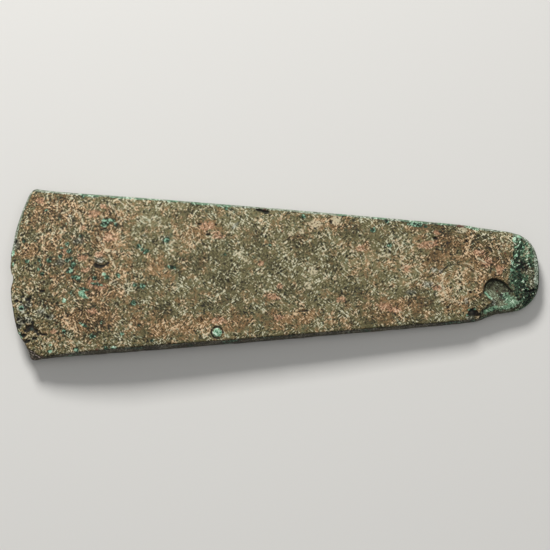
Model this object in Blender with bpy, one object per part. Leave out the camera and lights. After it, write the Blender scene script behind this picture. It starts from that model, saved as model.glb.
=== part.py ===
"""Flat axe head of cast copper alloy, worn and corroded, lying on its underside.

+X runs from the cutting edge to the butt, +Y across the blade and +Z up, in metres.
The origin is under the middle of the object, on the surface that it lies on.
"""

import math

import bmesh
import bpy
import numpy as np

# Plan, drawn along the arrises where the faces meet the side walls
LENGTH = 0.170
BLADE_WIDTH = 0.0543
BUTT_WIDTH = 0.0267
SIDE_BOW = 0.0005
CORNER_FLARE = 0.0012
FLARE_REACH = 0.0095

# Cutting edge: an arc whose foremost point is a little off the middle
EDGE_RADIUS = 0.064
EDGE_FOREMOST_Y = -0.0001
CORNER_ROUND = 0.0017

# Worn places in the cutting edge
NOTCH_Y = -0.0014
NOTCH_WIDTH = 0.0085
NOTCH_DEPTH = 0.0009
WORN_CORNER_Y = -0.0245
WORN_CORNER_WIDTH = 0.0140
WORN_CORNER_DEPTH = 0.0014

# Butt: the sides narrow a little faster before it, then turn into the end along a superellipse
BUTT_NARROWING = 0.055
NARROWING_REACH = 0.0244
BUTT_ROUND_UPPER = 0.0110
BUTT_ROUND_LOWER = 0.0208
BUTT_POWER = 3.0

# Thickness: greatest where the blade begins, thin at the edge
BODY_THICKNESS = 0.011
BUTT_THICKNESS = 0.0062
EDGE_THICKNESS = 0.0013
BLADE_REACH = 0.040
FACE_FALL = 0.0005
FLAT_SHARE = 0.52
SIDE_BULGE = 0.0006
BUTT_FALL = 0.0007
BUTT_SOFT_FROM = 0.72

# Scoop: an old loss that opens to one side wall near the butt
SCOOP_FROM_BUTT = 0.0128
SCOOP_FROM_SIDE = 0.0048
SCOOP_LENGTH = 0.0112
SCOOP_WIDTH = 0.0132
SCOOP_DEPTH = 0.0019
SCOOP_MOUTH_WIDTH = 0.016
SCOOP_MOUTH_DEPTH = 0.0012

# Chip: a small loss on the same side wall
CHIP_FROM_BUTT = 0.0214
CHIP_LENGTH = 0.0040
CHIP_WIDTH = 0.0048
CHIP_DEPTH = 0.0010

# Corner loss: a layer gone from the corner of the blade, behind a straight step
STEP_FROM_EDGE = 0.0045
STEP_FROM_SIDE = 0.0013
STEP_TURN = math.radians(-31)
STEP_LENGTH = 0.016
STEP_DEPTH = 0.0007

# Fineness of the mesh
CELLS_ALONG = 60
CELLS_ACROSS = 24
SIDE_CUTS = 3
CURVE_POINTS = 240
END_CROWDING = 0.45
BEND_POINTS = 17
CORNER_ROUNDS = 20
CUTTER_SIDES = 24
SHARP_ANGLE = math.radians(35)

BRONZE_COLOUR = (0.198, 0.168, 0.095, 1.0)
BRONZE_ROUGHNESS = 0.72
BRONZE_METALLIC = 0.3

HALF_LENGTH = LENGTH / 2 - SIDE_BULGE
BLADE_END = -HALF_LENGTH + BLADE_REACH


def clear_scene():
    for old in list(bpy.data.objects):
        bpy.data.objects.remove(old, do_unlink=True)


def bronze():
    """Brown patinated copper alloy."""
    material = bpy.data.materials.new("patinated_bronze")
    material.use_nodes = True
    shader = material.node_tree.nodes["Principled BSDF"]
    shader.inputs["Base Color"].default_value = BRONZE_COLOUR
    shader.inputs["Roughness"].default_value = BRONZE_ROUGHNESS
    shader.inputs["Metallic"].default_value = BRONZE_METALLIC
    return material


def arc_x(y):
    """Cutting edge before wear: an arc with its foremost point at EDGE_FOREMOST_Y."""
    return -HALF_LENGTH + EDGE_RADIUS - np.sqrt(EDGE_RADIUS**2 - (y - EDGE_FOREMOST_Y) ** 2)


def bite(y, middle, width, depth):
    """A worn place: a raised cosine of the given width and depth."""
    share = np.clip(np.abs(y - middle) / (width / 2), 0, 1)
    return depth * 0.5 * (1 + np.cos(math.pi * share))


def edge_x(y):
    """Cutting edge as it is now."""
    notch = bite(y, NOTCH_Y, NOTCH_WIDTH, NOTCH_DEPTH)
    return arc_x(y) + notch + bite(y, WORN_CORNER_Y, WORN_CORNER_WIDTH, WORN_CORNER_DEPTH)


def side_wear(x, side):
    """How far the lower side wall is worn back where the scoop opens to it."""
    depth = SCOOP_MOUTH_DEPTH if side < 0 else 0
    return bite(x, HALF_LENGTH - SCOOP_FROM_BUTT, SCOOP_MOUTH_WIDTH, depth)


def side_y(x):
    """Half the width between the arrises: a straight taper, slightly bowed, flared at the blade."""
    share = (x + HALF_LENGTH) / (2 * HALF_LENGTH)
    straight = (BLADE_WIDTH + (BUTT_WIDTH - BLADE_WIDTH) * share) / 2
    flare = CORNER_FLARE * np.exp((arc_x(BLADE_WIDTH / 2) - x) / FLARE_REACH)
    narrowing = BUTT_NARROWING * np.clip(x - HALF_LENGTH + NARROWING_REACH, 0, None)
    return straight + SIDE_BOW * np.sin(math.pi * share) + flare - narrowing


def rounded_corner(before, corner, after):
    """Points of a quadratic curve that cuts the corner between two points."""
    t = np.linspace(0, 1, BEND_POINTS)[:, None]
    return (1 - t) ** 2 * before + 2 * t * (1 - t) * corner + t**2 * after


def half_outline(side):
    """Outline from the middle of the cutting edge round one side (+1 or -1) to the tip of the butt.

    Returns its points, and how many of them come before the blade's corner and the butt's corner."""
    corner_y = BLADE_WIDTH / 2
    for _ in range(CORNER_ROUNDS):
        corner_y = side_y(arc_x(side * corner_y))
    corner = np.array([edge_x(side * corner_y), side * corner_y])
    y = np.linspace(0, side * (corner_y - CORNER_ROUND), CURVE_POINTS)
    edge = np.column_stack([edge_x(y), y])
    butt_round = BUTT_ROUND_UPPER if side > 0 else BUTT_ROUND_LOWER
    x = np.linspace(corner[0] + CORNER_ROUND, HALF_LENGTH - butt_round, CURVE_POINTS)
    wall = np.column_stack([x, side * (side_y(x) - side_wear(x, side))])
    turn = np.linspace(math.pi / 2, 0, CURVE_POINTS)
    x = HALF_LENGTH - butt_round + butt_round * np.cos(turn) ** (2 / BUTT_POWER)
    reach = side_y(x) * np.sin(turn) ** (2 / BUTT_POWER)
    butt = np.column_stack([x, side * (reach - side_wear(x, side))])
    bend = rounded_corner(edge[-1], corner, wall[0])
    points = np.vstack([edge, bend[1:-1], wall, butt[1:]])
    blade_corner = len(edge) + len(bend) // 2 - 1
    butt_corner = len(edge) + len(bend) - 2 + len(wall) + len(butt) // 2
    return points, blade_corner, butt_corner


def along(points, shares):
    """Points at these shares of a curve's length."""
    steps = np.linalg.norm(np.diff(points, axis=0), axis=1)
    run = np.concatenate([[0], np.cumsum(steps)])
    run /= run[-1]
    return np.column_stack([np.interp(shares, run, points[:, i]) for i in (0, 1)])


def plan():
    """Plan positions of the grid: a patch stretched over the cutting edge, the two sides and the butt."""
    upper, upper_blade, upper_butt = half_outline(+1)
    lower, lower_blade, lower_butt = half_outline(-1)
    even = np.linspace(0, 1, CELLS_ALONG + 1)
    crowded = 0.5 - 0.5 * np.cos(math.pi * even)
    u = even + (crowded - even) * END_CROWDING
    v = np.linspace(0, 1, CELLS_ACROSS + 1)
    edge = along(np.vstack([lower[lower_blade:0:-1], upper[: upper_blade + 1]]), v)
    butt = along(np.vstack([lower[lower_butt:], upper[: upper_butt - 1 : -1]]), v)
    top = along(upper[upper_blade : upper_butt + 1], u)
    bottom = along(lower[lower_blade : lower_butt + 1], u)
    u = u[:, None, None]
    v = v[None, :, None]
    across = (1 - v) * bottom[:, None] + v * top[:, None]
    lengthways = (1 - u) * edge[None] + u * butt[None]
    corners = (1 - u) * ((1 - v) * edge[0] + v * edge[-1]) + u * ((1 - v) * butt[0] + v * butt[-1])
    return across + lengthways - corners


def taper(x):
    """Thickness of the body, which falls evenly from the blade to the butt."""
    share = (x - BLADE_END) / (HALF_LENGTH - BLADE_END)
    return BODY_THICKNESS + (BUTT_THICKNESS - BODY_THICKNESS) * share


def butt_radius(x, y):
    """0 before the butt's longer round part, 1 on the outline there."""
    lengthways = np.clip((x - HALF_LENGTH + BUTT_ROUND_LOWER) / BUTT_ROUND_LOWER, 0, None)
    across = np.abs(y) / side_y(x)
    radius = (lengthways**BUTT_POWER + across**BUTT_POWER) ** (1 / BUTT_POWER)
    return np.where(lengthways > 0, radius, 0)


def thickness(x, y):
    """Thickness in the middle of the width: the body's taper, drawn down in a curve to the edge."""
    share = np.clip((x - arc_x(y)) / BLADE_REACH, 0, 1)
    return EDGE_THICKNESS + (taper(x) - EDGE_THICKNESS) * (1 - (1 - share) ** 2)


def face_fall(x, y):
    """How far each face lies under its flat middle, towards the sides and round the butt."""
    across = np.clip(np.abs(y) / side_y(x), FLAT_SHARE, 1)
    sides = FACE_FALL * (across - FLAT_SHARE) ** 2 / (1 - FLAT_SHARE) ** 2
    end = np.clip((butt_radius(x, y) - BUTT_SOFT_FROM) / (1 - BUTT_SOFT_FROM), 0, 1) ** 2
    return sides * thickness(x, y) / BODY_THICKNESS + BUTT_FALL * end


def heights(x, y):
    """Heights of the lower and the upper face."""
    half = thickness(x, y) / 2 - face_fall(x, y)
    return taper(x) / 2 - half, taper(x) / 2 + half


def bulge_side_walls(mesh, wall_edges):
    """Cuts the side walls into bands and rounds them outwards."""
    cut = bmesh.ops.subdivide_edges(mesh, edges=wall_edges, cuts=SIDE_CUTS, use_grid_fill=True)
    mesh.normal_update()
    inner = [item for item in cut["geom_inner"] if isinstance(item, bmesh.types.BMVert)]
    for vertex in inner:
        low, high = heights(vertex.co.x, vertex.co.y)
        level = 2 * (vertex.co.z - low) / (high - low) - 1
        outwards = vertex.normal.copy()
        outwards.z = 0
        reach = min(SIDE_BULGE, (high - low) / 2)
        vertex.co += outwards.normalized() * reach * math.sqrt(max(0, 1 - level**2))


def make_body():
    """The cast body: a grid pulled to the plan, extruded, and both faces set to their heights."""
    mesh = bmesh.new()
    bmesh.ops.create_grid(mesh, x_segments=CELLS_ALONG, y_segments=CELLS_ACROSS, size=0.5)
    positions = plan()
    for vertex in mesh.verts:
        i = round((vertex.co.x + 0.5) * CELLS_ALONG)
        j = round((vertex.co.y + 0.5) * CELLS_ACROSS)
        vertex.co = (*positions[i, j], 0)
    lower = list(mesh.verts)
    extruded = bmesh.ops.extrude_face_region(mesh, geom=mesh.faces[:], use_keep_orig=True)
    upper = [item for item in extruded["geom"] if isinstance(item, bmesh.types.BMVert)]
    for vertex in lower:
        vertex.co.z = heights(vertex.co.x, vertex.co.y)[0]
    for vertex in upper:
        vertex.co.z = heights(vertex.co.x, vertex.co.y)[1]
    above = set(upper)
    wall_edges = [edge for edge in mesh.edges if (edge.verts[0] in above) != (edge.verts[1] in above)]
    bmesh.ops.recalc_face_normals(mesh, faces=mesh.faces[:])
    bulge_side_walls(mesh, wall_edges)
    bmesh.ops.recalc_face_normals(mesh, faces=mesh.faces[:])
    data = bpy.data.meshes.new("axe_head")
    mesh.to_mesh(data)
    mesh.free()
    body = bpy.data.objects.new("axe_head", data)
    bpy.context.collection.objects.link(body)
    return body


def hollow_cutter(name, x, y, length, width, depth):
    """An upright half-sunk ball, stretched to the size of a loss in the upper face."""
    mesh = bmesh.new()
    bmesh.ops.create_uvsphere(mesh, u_segments=CUTTER_SIDES, v_segments=CUTTER_SIDES // 2, radius=0.5)
    bmesh.ops.scale(mesh, vec=(length, width, 2 * depth), verts=mesh.verts[:])
    return cutter(name, mesh, (x, y, heights(x, y)[1]), (0, 0, 0))


def cutter(name, mesh, location, rotation):
    data = bpy.data.meshes.new(name)
    mesh.to_mesh(data)
    mesh.free()
    tool = bpy.data.objects.new(name, data)
    tool.location = location
    tool.rotation_euler = rotation
    tool.hide_render = True
    tool.display_type = "WIRE"
    bpy.context.collection.objects.link(tool)
    return tool


def scoop_cutter():
    x = HALF_LENGTH - SCOOP_FROM_BUTT
    y = SCOOP_FROM_SIDE - side_y(x)
    return hollow_cutter("scoop_cutter", x, y, SCOOP_LENGTH, SCOOP_WIDTH, SCOOP_DEPTH)


def chip_cutter():
    x = HALF_LENGTH - CHIP_FROM_BUTT
    return hollow_cutter("chip_cutter", x, -side_y(x), CHIP_LENGTH, CHIP_WIDTH, CHIP_DEPTH)


def corner_cutter():
    """A slab that takes a layer off the blade's corner, laid along the slope of the face there."""
    y = STEP_FROM_SIDE - BLADE_WIDTH / 2
    x = arc_x(y) + STEP_FROM_EDGE
    rise = heights(x + STEP_DEPTH, y)[1] - heights(x, y)[1]
    slope = math.atan2(rise, STEP_DEPTH)
    mesh = bmesh.new()
    bmesh.ops.create_cube(mesh, size=STEP_LENGTH)
    half = STEP_LENGTH / 2
    bmesh.ops.translate(mesh, vec=(0, -half, half), verts=mesh.verts[:])
    return cutter("corner_cutter", mesh, (x, y, heights(x, y)[1] - STEP_DEPTH), (0, -slope, STEP_TURN))


def cut(body, tool):
    boolean = body.modifiers.new(tool.name, "BOOLEAN")
    boolean.operation = "DIFFERENCE"
    boolean.solver = "EXACT"
    boolean.object = tool


def make_axe_head():
    body = make_body()
    body.data.materials.append(bronze())
    for tool in (scoop_cutter(), chip_cutter(), corner_cutter()):
        cut(body, tool)
    body.data.shade_smooth()
    body.data.set_sharp_from_angle(angle=SHARP_ANGLE)
    return body


clear_scene()
make_axe_head()
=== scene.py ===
# %% [markdown]
# A flat axe head of cast copper alloy, buried for a very long time and lying on its underside.
# One thick tapering plate, with a fan-shaped cutting edge at one end and a rounded butt at the other.
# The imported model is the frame: it stays as it is, and gives the box that the finished piece keeps to.

# %% The frame and its box
import math

import bpy
import numpy as np
from mathutils import Matrix, Vector


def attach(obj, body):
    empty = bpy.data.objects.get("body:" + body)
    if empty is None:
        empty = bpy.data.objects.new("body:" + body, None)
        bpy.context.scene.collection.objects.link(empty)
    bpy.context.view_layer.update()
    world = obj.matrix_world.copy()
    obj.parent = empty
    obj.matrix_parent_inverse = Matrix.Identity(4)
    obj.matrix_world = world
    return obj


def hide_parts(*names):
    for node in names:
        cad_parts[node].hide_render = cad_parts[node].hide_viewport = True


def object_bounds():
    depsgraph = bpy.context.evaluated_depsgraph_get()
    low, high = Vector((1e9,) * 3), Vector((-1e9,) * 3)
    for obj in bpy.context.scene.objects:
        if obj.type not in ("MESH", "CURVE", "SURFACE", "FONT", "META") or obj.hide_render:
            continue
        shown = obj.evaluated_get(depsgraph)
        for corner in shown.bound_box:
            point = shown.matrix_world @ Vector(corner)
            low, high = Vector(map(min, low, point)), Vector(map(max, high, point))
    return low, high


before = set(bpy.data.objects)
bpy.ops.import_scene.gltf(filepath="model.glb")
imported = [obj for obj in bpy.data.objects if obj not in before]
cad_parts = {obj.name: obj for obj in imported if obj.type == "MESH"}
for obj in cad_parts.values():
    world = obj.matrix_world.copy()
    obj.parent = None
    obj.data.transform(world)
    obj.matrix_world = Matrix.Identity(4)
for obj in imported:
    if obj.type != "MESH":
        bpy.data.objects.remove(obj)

CAD_LOW, CAD_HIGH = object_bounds()
BODY = "root"
NODE = "axe_head"
MM = 1000.0
print("CAD box in mm:", [round(side * MM, 2) for side in CAD_HIGH - CAD_LOW])

# %% [markdown]
# The plan. Seen from above, the axe head is a long trapezium: two nearly straight sides, a shallow arc
# for the cutting edge and a blunt rounded butt. It could be traced point by point, but a few sizes say
# it better: widths at both ends, the arc's radius, the rounding of the butt. The sizes are the solid's
# own, so the detailed piece takes exactly its place.

# %% Sizes of the plan and the thickness, in metres
LENGTH, BLADE_WIDTH, BUTT_WIDTH = 0.170, 0.0543, 0.0267
SIDE_BOW, CORNER_FLARE, FLARE_REACH = 0.0005, 0.0012, 0.0095
EDGE_RADIUS, EDGE_FOREMOST_Y, CORNER_ROUND = 0.064, -0.0001, 0.0017
NOTCH_Y, NOTCH_WIDTH, NOTCH_DEPTH = -0.0014, 0.0085, 0.0009
WORN_CORNER_Y, WORN_CORNER_WIDTH, WORN_CORNER_DEPTH = -0.0245, 0.0140, 0.0014
BUTT_NARROWING, NARROWING_REACH = 0.055, 0.0244
BUTT_ROUND_UPPER, BUTT_ROUND_LOWER, BUTT_POWER = 0.0110, 0.0208, 3.0
BODY_THICKNESS, BUTT_THICKNESS, EDGE_THICKNESS = 0.011, 0.0062, 0.0013
BLADE_REACH, FACE_FALL, FLAT_SHARE = 0.040, 0.0005, 0.52
SIDE_BULGE, BUTT_FALL, BUTT_SOFT_FROM = 0.0006, 0.0007, 0.72
SCOOP_FROM_BUTT, SCOOP_MOUTH_WIDTH, SCOOP_MOUTH_DEPTH = 0.0128, 0.016, 0.0012
HALF_LENGTH = LENGTH / 2 - SIDE_BULGE
BLADE_END = -HALF_LENGTH + BLADE_REACH
CURVE_POINTS, BEND_POINTS, CORNER_ROUNDS = 700, 17, 20


# %% The cutting edge and the sides
def arc_x(y):
    """Cutting edge before wear: a circle of EDGE_RADIUS whose foremost point is at EDGE_FOREMOST_Y."""
    return -HALF_LENGTH + EDGE_RADIUS - np.sqrt(EDGE_RADIUS**2 - (y - EDGE_FOREMOST_Y) ** 2)


def bite(y, middle, width, depth):
    """A worn place: one wave of a cosine, depth at its middle and nothing at half its width."""
    share = np.clip(np.abs(y - middle) / (width / 2), 0, 1)
    return depth * 0.5 * (1 + np.cos(math.pi * share))


def edge_x(y):
    """Cutting edge as it is now: the arc, less a small notch and the worn corner."""
    notch = bite(y, NOTCH_Y, NOTCH_WIDTH, NOTCH_DEPTH)
    return arc_x(y) + notch + bite(y, WORN_CORNER_Y, WORN_CORNER_WIDTH, WORN_CORNER_DEPTH)


def side_y(x):
    """Half the width: a straight taper and half a sine of bow, a flare that dies away from the blade, and a
    narrowing before the butt."""
    share = (x + HALF_LENGTH) / (2 * HALF_LENGTH)
    straight = (BLADE_WIDTH + (BUTT_WIDTH - BLADE_WIDTH) * share) / 2
    flare = CORNER_FLARE * np.exp((arc_x(BLADE_WIDTH / 2) - x) / FLARE_REACH)
    narrowing = BUTT_NARROWING * np.clip(x - HALF_LENGTH + NARROWING_REACH, 0, None)
    return straight + SIDE_BOW * np.sin(math.pi * share) + flare - narrowing


def mouth_wear(x, side):
    """How far the lower side wall is worn back where the scoop opens to it."""
    return bite(x, HALF_LENGTH - SCOOP_FROM_BUTT, SCOOP_MOUTH_WIDTH, SCOOP_MOUTH_DEPTH if side < 0 else 0)


print("half the width at mid length:", round(float(side_y(0.0)) * MM, 2), "mm")


# %% One half of the outline, from the middle of the edge to the tip of the butt
def half_outline(side):
    """Edge, bend, side wall and butt in one line. The bend is a quadratic curve, the butt a superellipse.

    Also returns how many points come before the blade's corner and the butt's corner."""
    corner_y = BLADE_WIDTH / 2
    for _ in range(CORNER_ROUNDS):
        corner_y = side_y(arc_x(side * corner_y))
    corner = np.array([edge_x(side * corner_y), side * corner_y])
    y = np.linspace(0, side * (corner_y - CORNER_ROUND), CURVE_POINTS)
    edge = np.column_stack([edge_x(y), y])
    butt_round = BUTT_ROUND_UPPER if side > 0 else BUTT_ROUND_LOWER
    x = np.linspace(corner[0] + CORNER_ROUND, HALF_LENGTH - butt_round, CURVE_POINTS)
    wall = np.column_stack([x, side * (side_y(x) - mouth_wear(x, side))])
    turn = np.linspace(math.pi / 2, 0, CURVE_POINTS)
    x = HALF_LENGTH - butt_round + butt_round * np.cos(turn) ** (2 / BUTT_POWER)
    reach = side_y(x) * np.sin(turn) ** (2 / BUTT_POWER)
    butt = np.column_stack([x, side * (reach - mouth_wear(x, side))])
    t = np.linspace(0, 1, BEND_POINTS)[:, None]
    bend = (1 - t) ** 2 * edge[-1] + 2 * t * (1 - t) * corner + t**2 * wall[0]
    points = np.vstack([edge, bend[1:-1], wall, butt[1:]])
    return points, len(edge) + len(bend) // 2 - 1, len(edge) + len(bend) - 2 + len(wall) + len(butt) // 2


def along(points, shares):
    """Points at these shares of a curve's length."""
    run = np.concatenate([[0], np.cumsum(np.linalg.norm(np.diff(points, axis=0), axis=1))])
    return np.column_stack([np.interp(shares, run / run[-1], points[:, i]) for i in (0, 1)])


print("points of half the outline:", len(half_outline(+1)[0]))


# %% [markdown]
# Corrosion is irregular, but the same each time the script runs. So its unevenness comes from a fixed
# rule instead of a random generator: every corner of a cubic lattice gets a number mixed from its
# position, and the numbers are blended smoothly in between. Adding finer and finer copies gives the
# cloudy, crumbly pattern of a corroded surface. A second rule scatters one point in every square, for pits.

# %% Unevenness that repeats exactly
def lattice_number(x, y, z, seed):
    """A number from 0 to 1 for whole-number positions: three products mixed by exclusive-or and a shift."""
    mixed = (x * 73856093) ^ (y * 19349663) ^ (z * 83492791) ^ (seed * 40503)
    mixed = ((mixed ^ (mixed >> 13)) & 0x7FFFFFFF) * 1274126177
    return ((mixed >> 15) & 0xFFFF) / 65535


def mottle(points, size, seed, octaves=3):
    """Fractal value noise from -1 to 1: lattice numbers blended smoothly, each octave half as large."""
    total = np.zeros(points.shape[:-1])
    height, heights_sum = 1.0, 0.0
    for octave in range(octaves):
        place = points * (2**octave / size) + 31.7 * (octave + 1)
        cell = np.floor(place).astype(np.int64)
        t = place - cell
        t = t * t * (3 - 2 * t)
        value = 0
        for step in np.ndindex(2, 2, 2):
            share = np.prod([t[..., i] if step[i] else 1 - t[..., i] for i in range(3)], axis=0)
            value = value + share * lattice_number(*(cell[..., i] + step[i] for i in range(3)), seed + octave)
        total += (2 * value - 1) * height
        heights_sum += height
        height *= 0.5
    return total / heights_sum


def dapple(points, size, seed, octaves=3):
    """A mottle moved to the range from 0 to 1."""
    return 0.5 + 0.5 * mottle(points, size, seed, octaves)


def scatter(x, y, size, seed):
    """Distance to the nearest of one random point per square, in squares, and that point's own number."""
    nearest, number = np.full(x.shape, 9.0), np.zeros(x.shape)
    cx, cy = np.floor(x / size).astype(np.int64), np.floor(y / size).astype(np.int64)
    for dx, dy in np.ndindex(3, 3):
        i, j = cx + dx - 1, cy + dy - 1
        px = i + lattice_number(i, j, i * 0 + 1, seed)
        py = j + lattice_number(i, j, i * 0 + 2, seed)
        distance = np.hypot(x / size - px, y / size - py)
        closer = distance < nearest
        number = np.where(closer, lattice_number(i, j, i * 0 + 3, seed), number)
        nearest = np.where(closer, distance, nearest)
    return nearest, number


def rise(value, low, high):
    """0 up to low, 1 from high on, and a smooth step (3t^2 - 2t^3) in between."""
    t = np.clip((value - low) / (high - low), 0, 1)
    return t * t * (3 - 2 * t)


print("a mottle at the origin:", round(float(mottle(np.zeros((1, 3)), 1.0, 5)[0]), 3))


# %% [markdown]
# The skin is stretched over a grid of small cells. A grid needs four sides, and the plan has them: the
# cutting edge, two long sides and the butt. The patch adds the two ruled surfaces between opposite
# sides and takes away their shared part, so the cells follow the outline on all four sides.
# The arris, where face meets wall, is slightly ragged: its points move inwards before the patch is made.
# The lower side is the most worn, and the upper side and the butt keep nearly their whole reach.

# %% The grid of the plan
CELLS_ALONG, CELLS_ACROSS, WALL_BANDS = 480, 128, 16
END_CROWDING = 0.30
ARRIS_RAGGED = ((6.0, 0.16), (1.6, 0.10))
ARRIS_WEAR = {"cutting edge": 0.35, "butt": 0.15, "upper side": 0.15, "lower side": 1.0}
FADE_STEEPNESS = 40


def ragged(curve, side):
    """Moves a border curve inwards by mottles of a few sizes, fading out towards its ends."""
    tangent = np.gradient(curve, axis=0)
    tangent /= np.linalg.norm(tangent, axis=1)[:, None]
    inwards = np.column_stack([tangent[:, 1], -tangent[:, 0]])
    inwards *= -np.sign(np.sum(inwards * curve, axis=1))[:, None]
    points = np.column_stack([curve * MM, np.full(len(curve), 5.0)])
    loss = sum(height * dapple(points, size, 70 + i) for i, (size, height) in enumerate(ARRIS_RAGGED))
    share = np.linspace(0, 1, len(curve))
    fade = ARRIS_WEAR[side] * np.clip(np.minimum(share, 1 - share) * FADE_STEEPNESS, 0, 1)
    print("arris of the", side, "worn by up to", round(float((loss * fade).max()), 2), "mm")
    return curve + inwards * (loss * fade / MM)[:, None]


def plan_grid():
    """Coons patch: across + lengthways - corners, over the four ragged border curves."""
    upper, upper_blade, upper_butt = half_outline(+1)
    lower, lower_blade, lower_butt = half_outline(-1)
    even = np.linspace(0, 1, CELLS_ALONG + 1)
    u = even + (0.5 - 0.5 * np.cos(math.pi * even) - even) * END_CROWDING
    v = np.linspace(0, 1, CELLS_ACROSS + 1)
    edge = ragged(along(np.vstack([lower[lower_blade:0:-1], upper[: upper_blade + 1]]), v), "cutting edge")
    butt = ragged(along(np.vstack([lower[lower_butt:], upper[: upper_butt - 1 : -1]]), v), "butt")
    top = ragged(along(upper[upper_blade : upper_butt + 1], u), "upper side")
    bottom = ragged(along(lower[lower_blade : lower_butt + 1], u), "lower side")
    u, v = u[:, None, None], v[None, :, None]
    across = (1 - v) * bottom[:, None] + v * top[:, None]
    lengthways = (1 - u) * edge[None] + u * butt[None]
    corners = (1 - u) * ((1 - v) * edge[0] + v * edge[-1]) + u * ((1 - v) * butt[0] + v * butt[-1])
    return across + lengthways - corners


PLAN = plan_grid()
X, Y = PLAN[..., 0], PLAN[..., 1]
print("grid of the face:", PLAN.shape[:2], "points")


# %% How far each point of the face is from the arris
def rim_distance():
    """Length along the grid line to the nearer end, lengthways and across, and the smaller of the two."""
    nearest = np.full(X.shape, 1.0)
    for axis in (0, 1):
        steps = np.linalg.norm(np.diff(PLAN, axis=axis), axis=2)
        run = np.cumsum(steps, axis=axis)
        run = np.concatenate([np.zeros_like(np.take(run, [0], axis=axis)), run], axis=axis)
        nearest = np.minimum(nearest, np.minimum(run, np.take(run, [-1], axis=axis) - run))
    return nearest


RIM = rim_distance() * MM
print("greatest distance from the arris:", round(float(RIM.max()), 1), "mm")


# %% [markdown]
# Thickness. Hammering and grinding thinned the last 40 mm of the blade in a curve down to the edge,
# and the body tapers evenly from there to the butt. Both faces are almost flat in the middle, fall a
# little towards the sides, and soften round the butt.

# %% Heights of the two faces before wear
def taper(x):
    """Thickness of the body: a straight line from BODY_THICKNESS at the blade to BUTT_THICKNESS."""
    return BODY_THICKNESS + (BUTT_THICKNESS - BODY_THICKNESS) * (x - BLADE_END) / (HALF_LENGTH - BLADE_END)


def butt_radius(x, y):
    """0 before the butt's round part and 1 on its outline: a superellipse radius."""
    lengthways = np.clip((x - HALF_LENGTH + BUTT_ROUND_LOWER) / BUTT_ROUND_LOWER, 0, None)
    across = np.abs(y) / side_y(x)
    return np.where(lengthways > 0, (lengthways**BUTT_POWER + across**BUTT_POWER) ** (1 / BUTT_POWER), 0)


def face_heights(x, y):
    """Lower and upper face: a parabola over the blade, less the fall to the sides and round the butt."""
    share = np.clip((x - arc_x(y)) / BLADE_REACH, 0, 1)
    thick = EDGE_THICKNESS + (taper(x) - EDGE_THICKNESS) * (1 - (1 - share) ** 2)
    across = np.clip(np.abs(y) / side_y(x), FLAT_SHARE, 1)
    fall = FACE_FALL * (across - FLAT_SHARE) ** 2 / (1 - FLAT_SHARE) ** 2 * thick / BODY_THICKNESS
    fall = fall + BUTT_FALL * np.clip((butt_radius(x, y) - BUTT_SOFT_FROM) / (1 - BUTT_SOFT_FROM), 0, 1) ** 2
    return taper(x) / 2 - thick / 2 + fall, taper(x) / 2 + thick / 2 - fall


print("thickness at mid length:", round(float(np.ptp(face_heights(0.0, 0.0))) * MM, 2), "mm")


# %% [markdown]
# What time did to the upper face, by name: pits, cracks, nodules of green corrosion, flakes gone from
# the blade's corner, and a scoop near the butt. Each is a place and a size in millimetres on the face.
# They are drawn by two tools: a blot, which is an ellipse with a crumbly edge, and a stroke, which is
# a line of some width. Both give 1 inside and 0 outside, for the shape and for the colour alike.

# %% Blots and strokes
FACE = np.stack([X * MM, Y * MM, np.zeros_like(X)], axis=-1)
CRUMBLE = mottle(FACE, 1.1, 5, 2)
FX, FY = FACE[..., 0], FACE[..., 1]


def blot(places, x=FX, y=FY, ragged_by=0.3, soft=0.7):
    """1 inside ellipses, smooth to 0 outside: (x, y, half length, half width, turn in degrees). Without a
    half width it is a round spot, and without a turn it lies along x."""
    cover = np.zeros(x.shape)
    for cx, cy, length, *more in places:
        width, turn = (*more, 0)[:2] if more else (length, 0)
        c, s = math.cos(math.radians(turn)), math.sin(math.radians(turn))
        along_it, across_it = (x - cx) * c + (y - cy) * s, (y - cy) * c - (x - cx) * s
        radius = np.hypot(along_it / length, across_it / width) * (1 + ragged_by * CRUMBLE)
        cover = np.maximum(cover, rise(1 + soft / 2 - radius, 0, soft))
    return cover


def to_line(x, y, start, end):
    """Distance to a straight line, measured to its nearest point, which is kept between the two ends."""
    (ax, ay), (bx, by) = start, end
    t = np.clip(((x - ax) * (bx - ax) + (y - ay) * (by - ay)) / ((bx - ax) ** 2 + (by - ay) ** 2), 0, 1)
    return np.hypot(x - ax - t * (bx - ax), y - ay - t * (by - ay))


def stroke(lines, x=FX, y=FY, wander=CRUMBLE):
    """1 on lines (half width, points...), smooth to 0 beside them; each line wanders a little."""
    cover = np.zeros(x.shape)
    x, y = x + 0.15 * wander, y - 0.15 * wander
    for width, *points in lines:
        for start, end in zip(points[:-1], points[1:]):
            cover = np.maximum(cover, rise(width * 1.5 - to_line(x, y, start, end), 0, width))
    return cover


def tone(places):
    """Sum of soft mounds (x, y, length, width, strength): strength * exp(-(x / length)^2 - (y / width)^2)."""
    return sum(strength * np.exp(-(((FX - cx) / length) ** 2) - ((FY - cy) / width) ** 2)
               for cx, cy, length, width, strength in places)


print("a spot of 1 mm radius covers", round(float(blot([(0, 0, 1)]).sum())), "grid points")


# %% [markdown]
# Losses and lumps come first, since they shape the face: single pits, the voids of the worn corner,
# short cracks, nodules of green corrosion that stand up, and the faint line of a ring near the butt.

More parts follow.
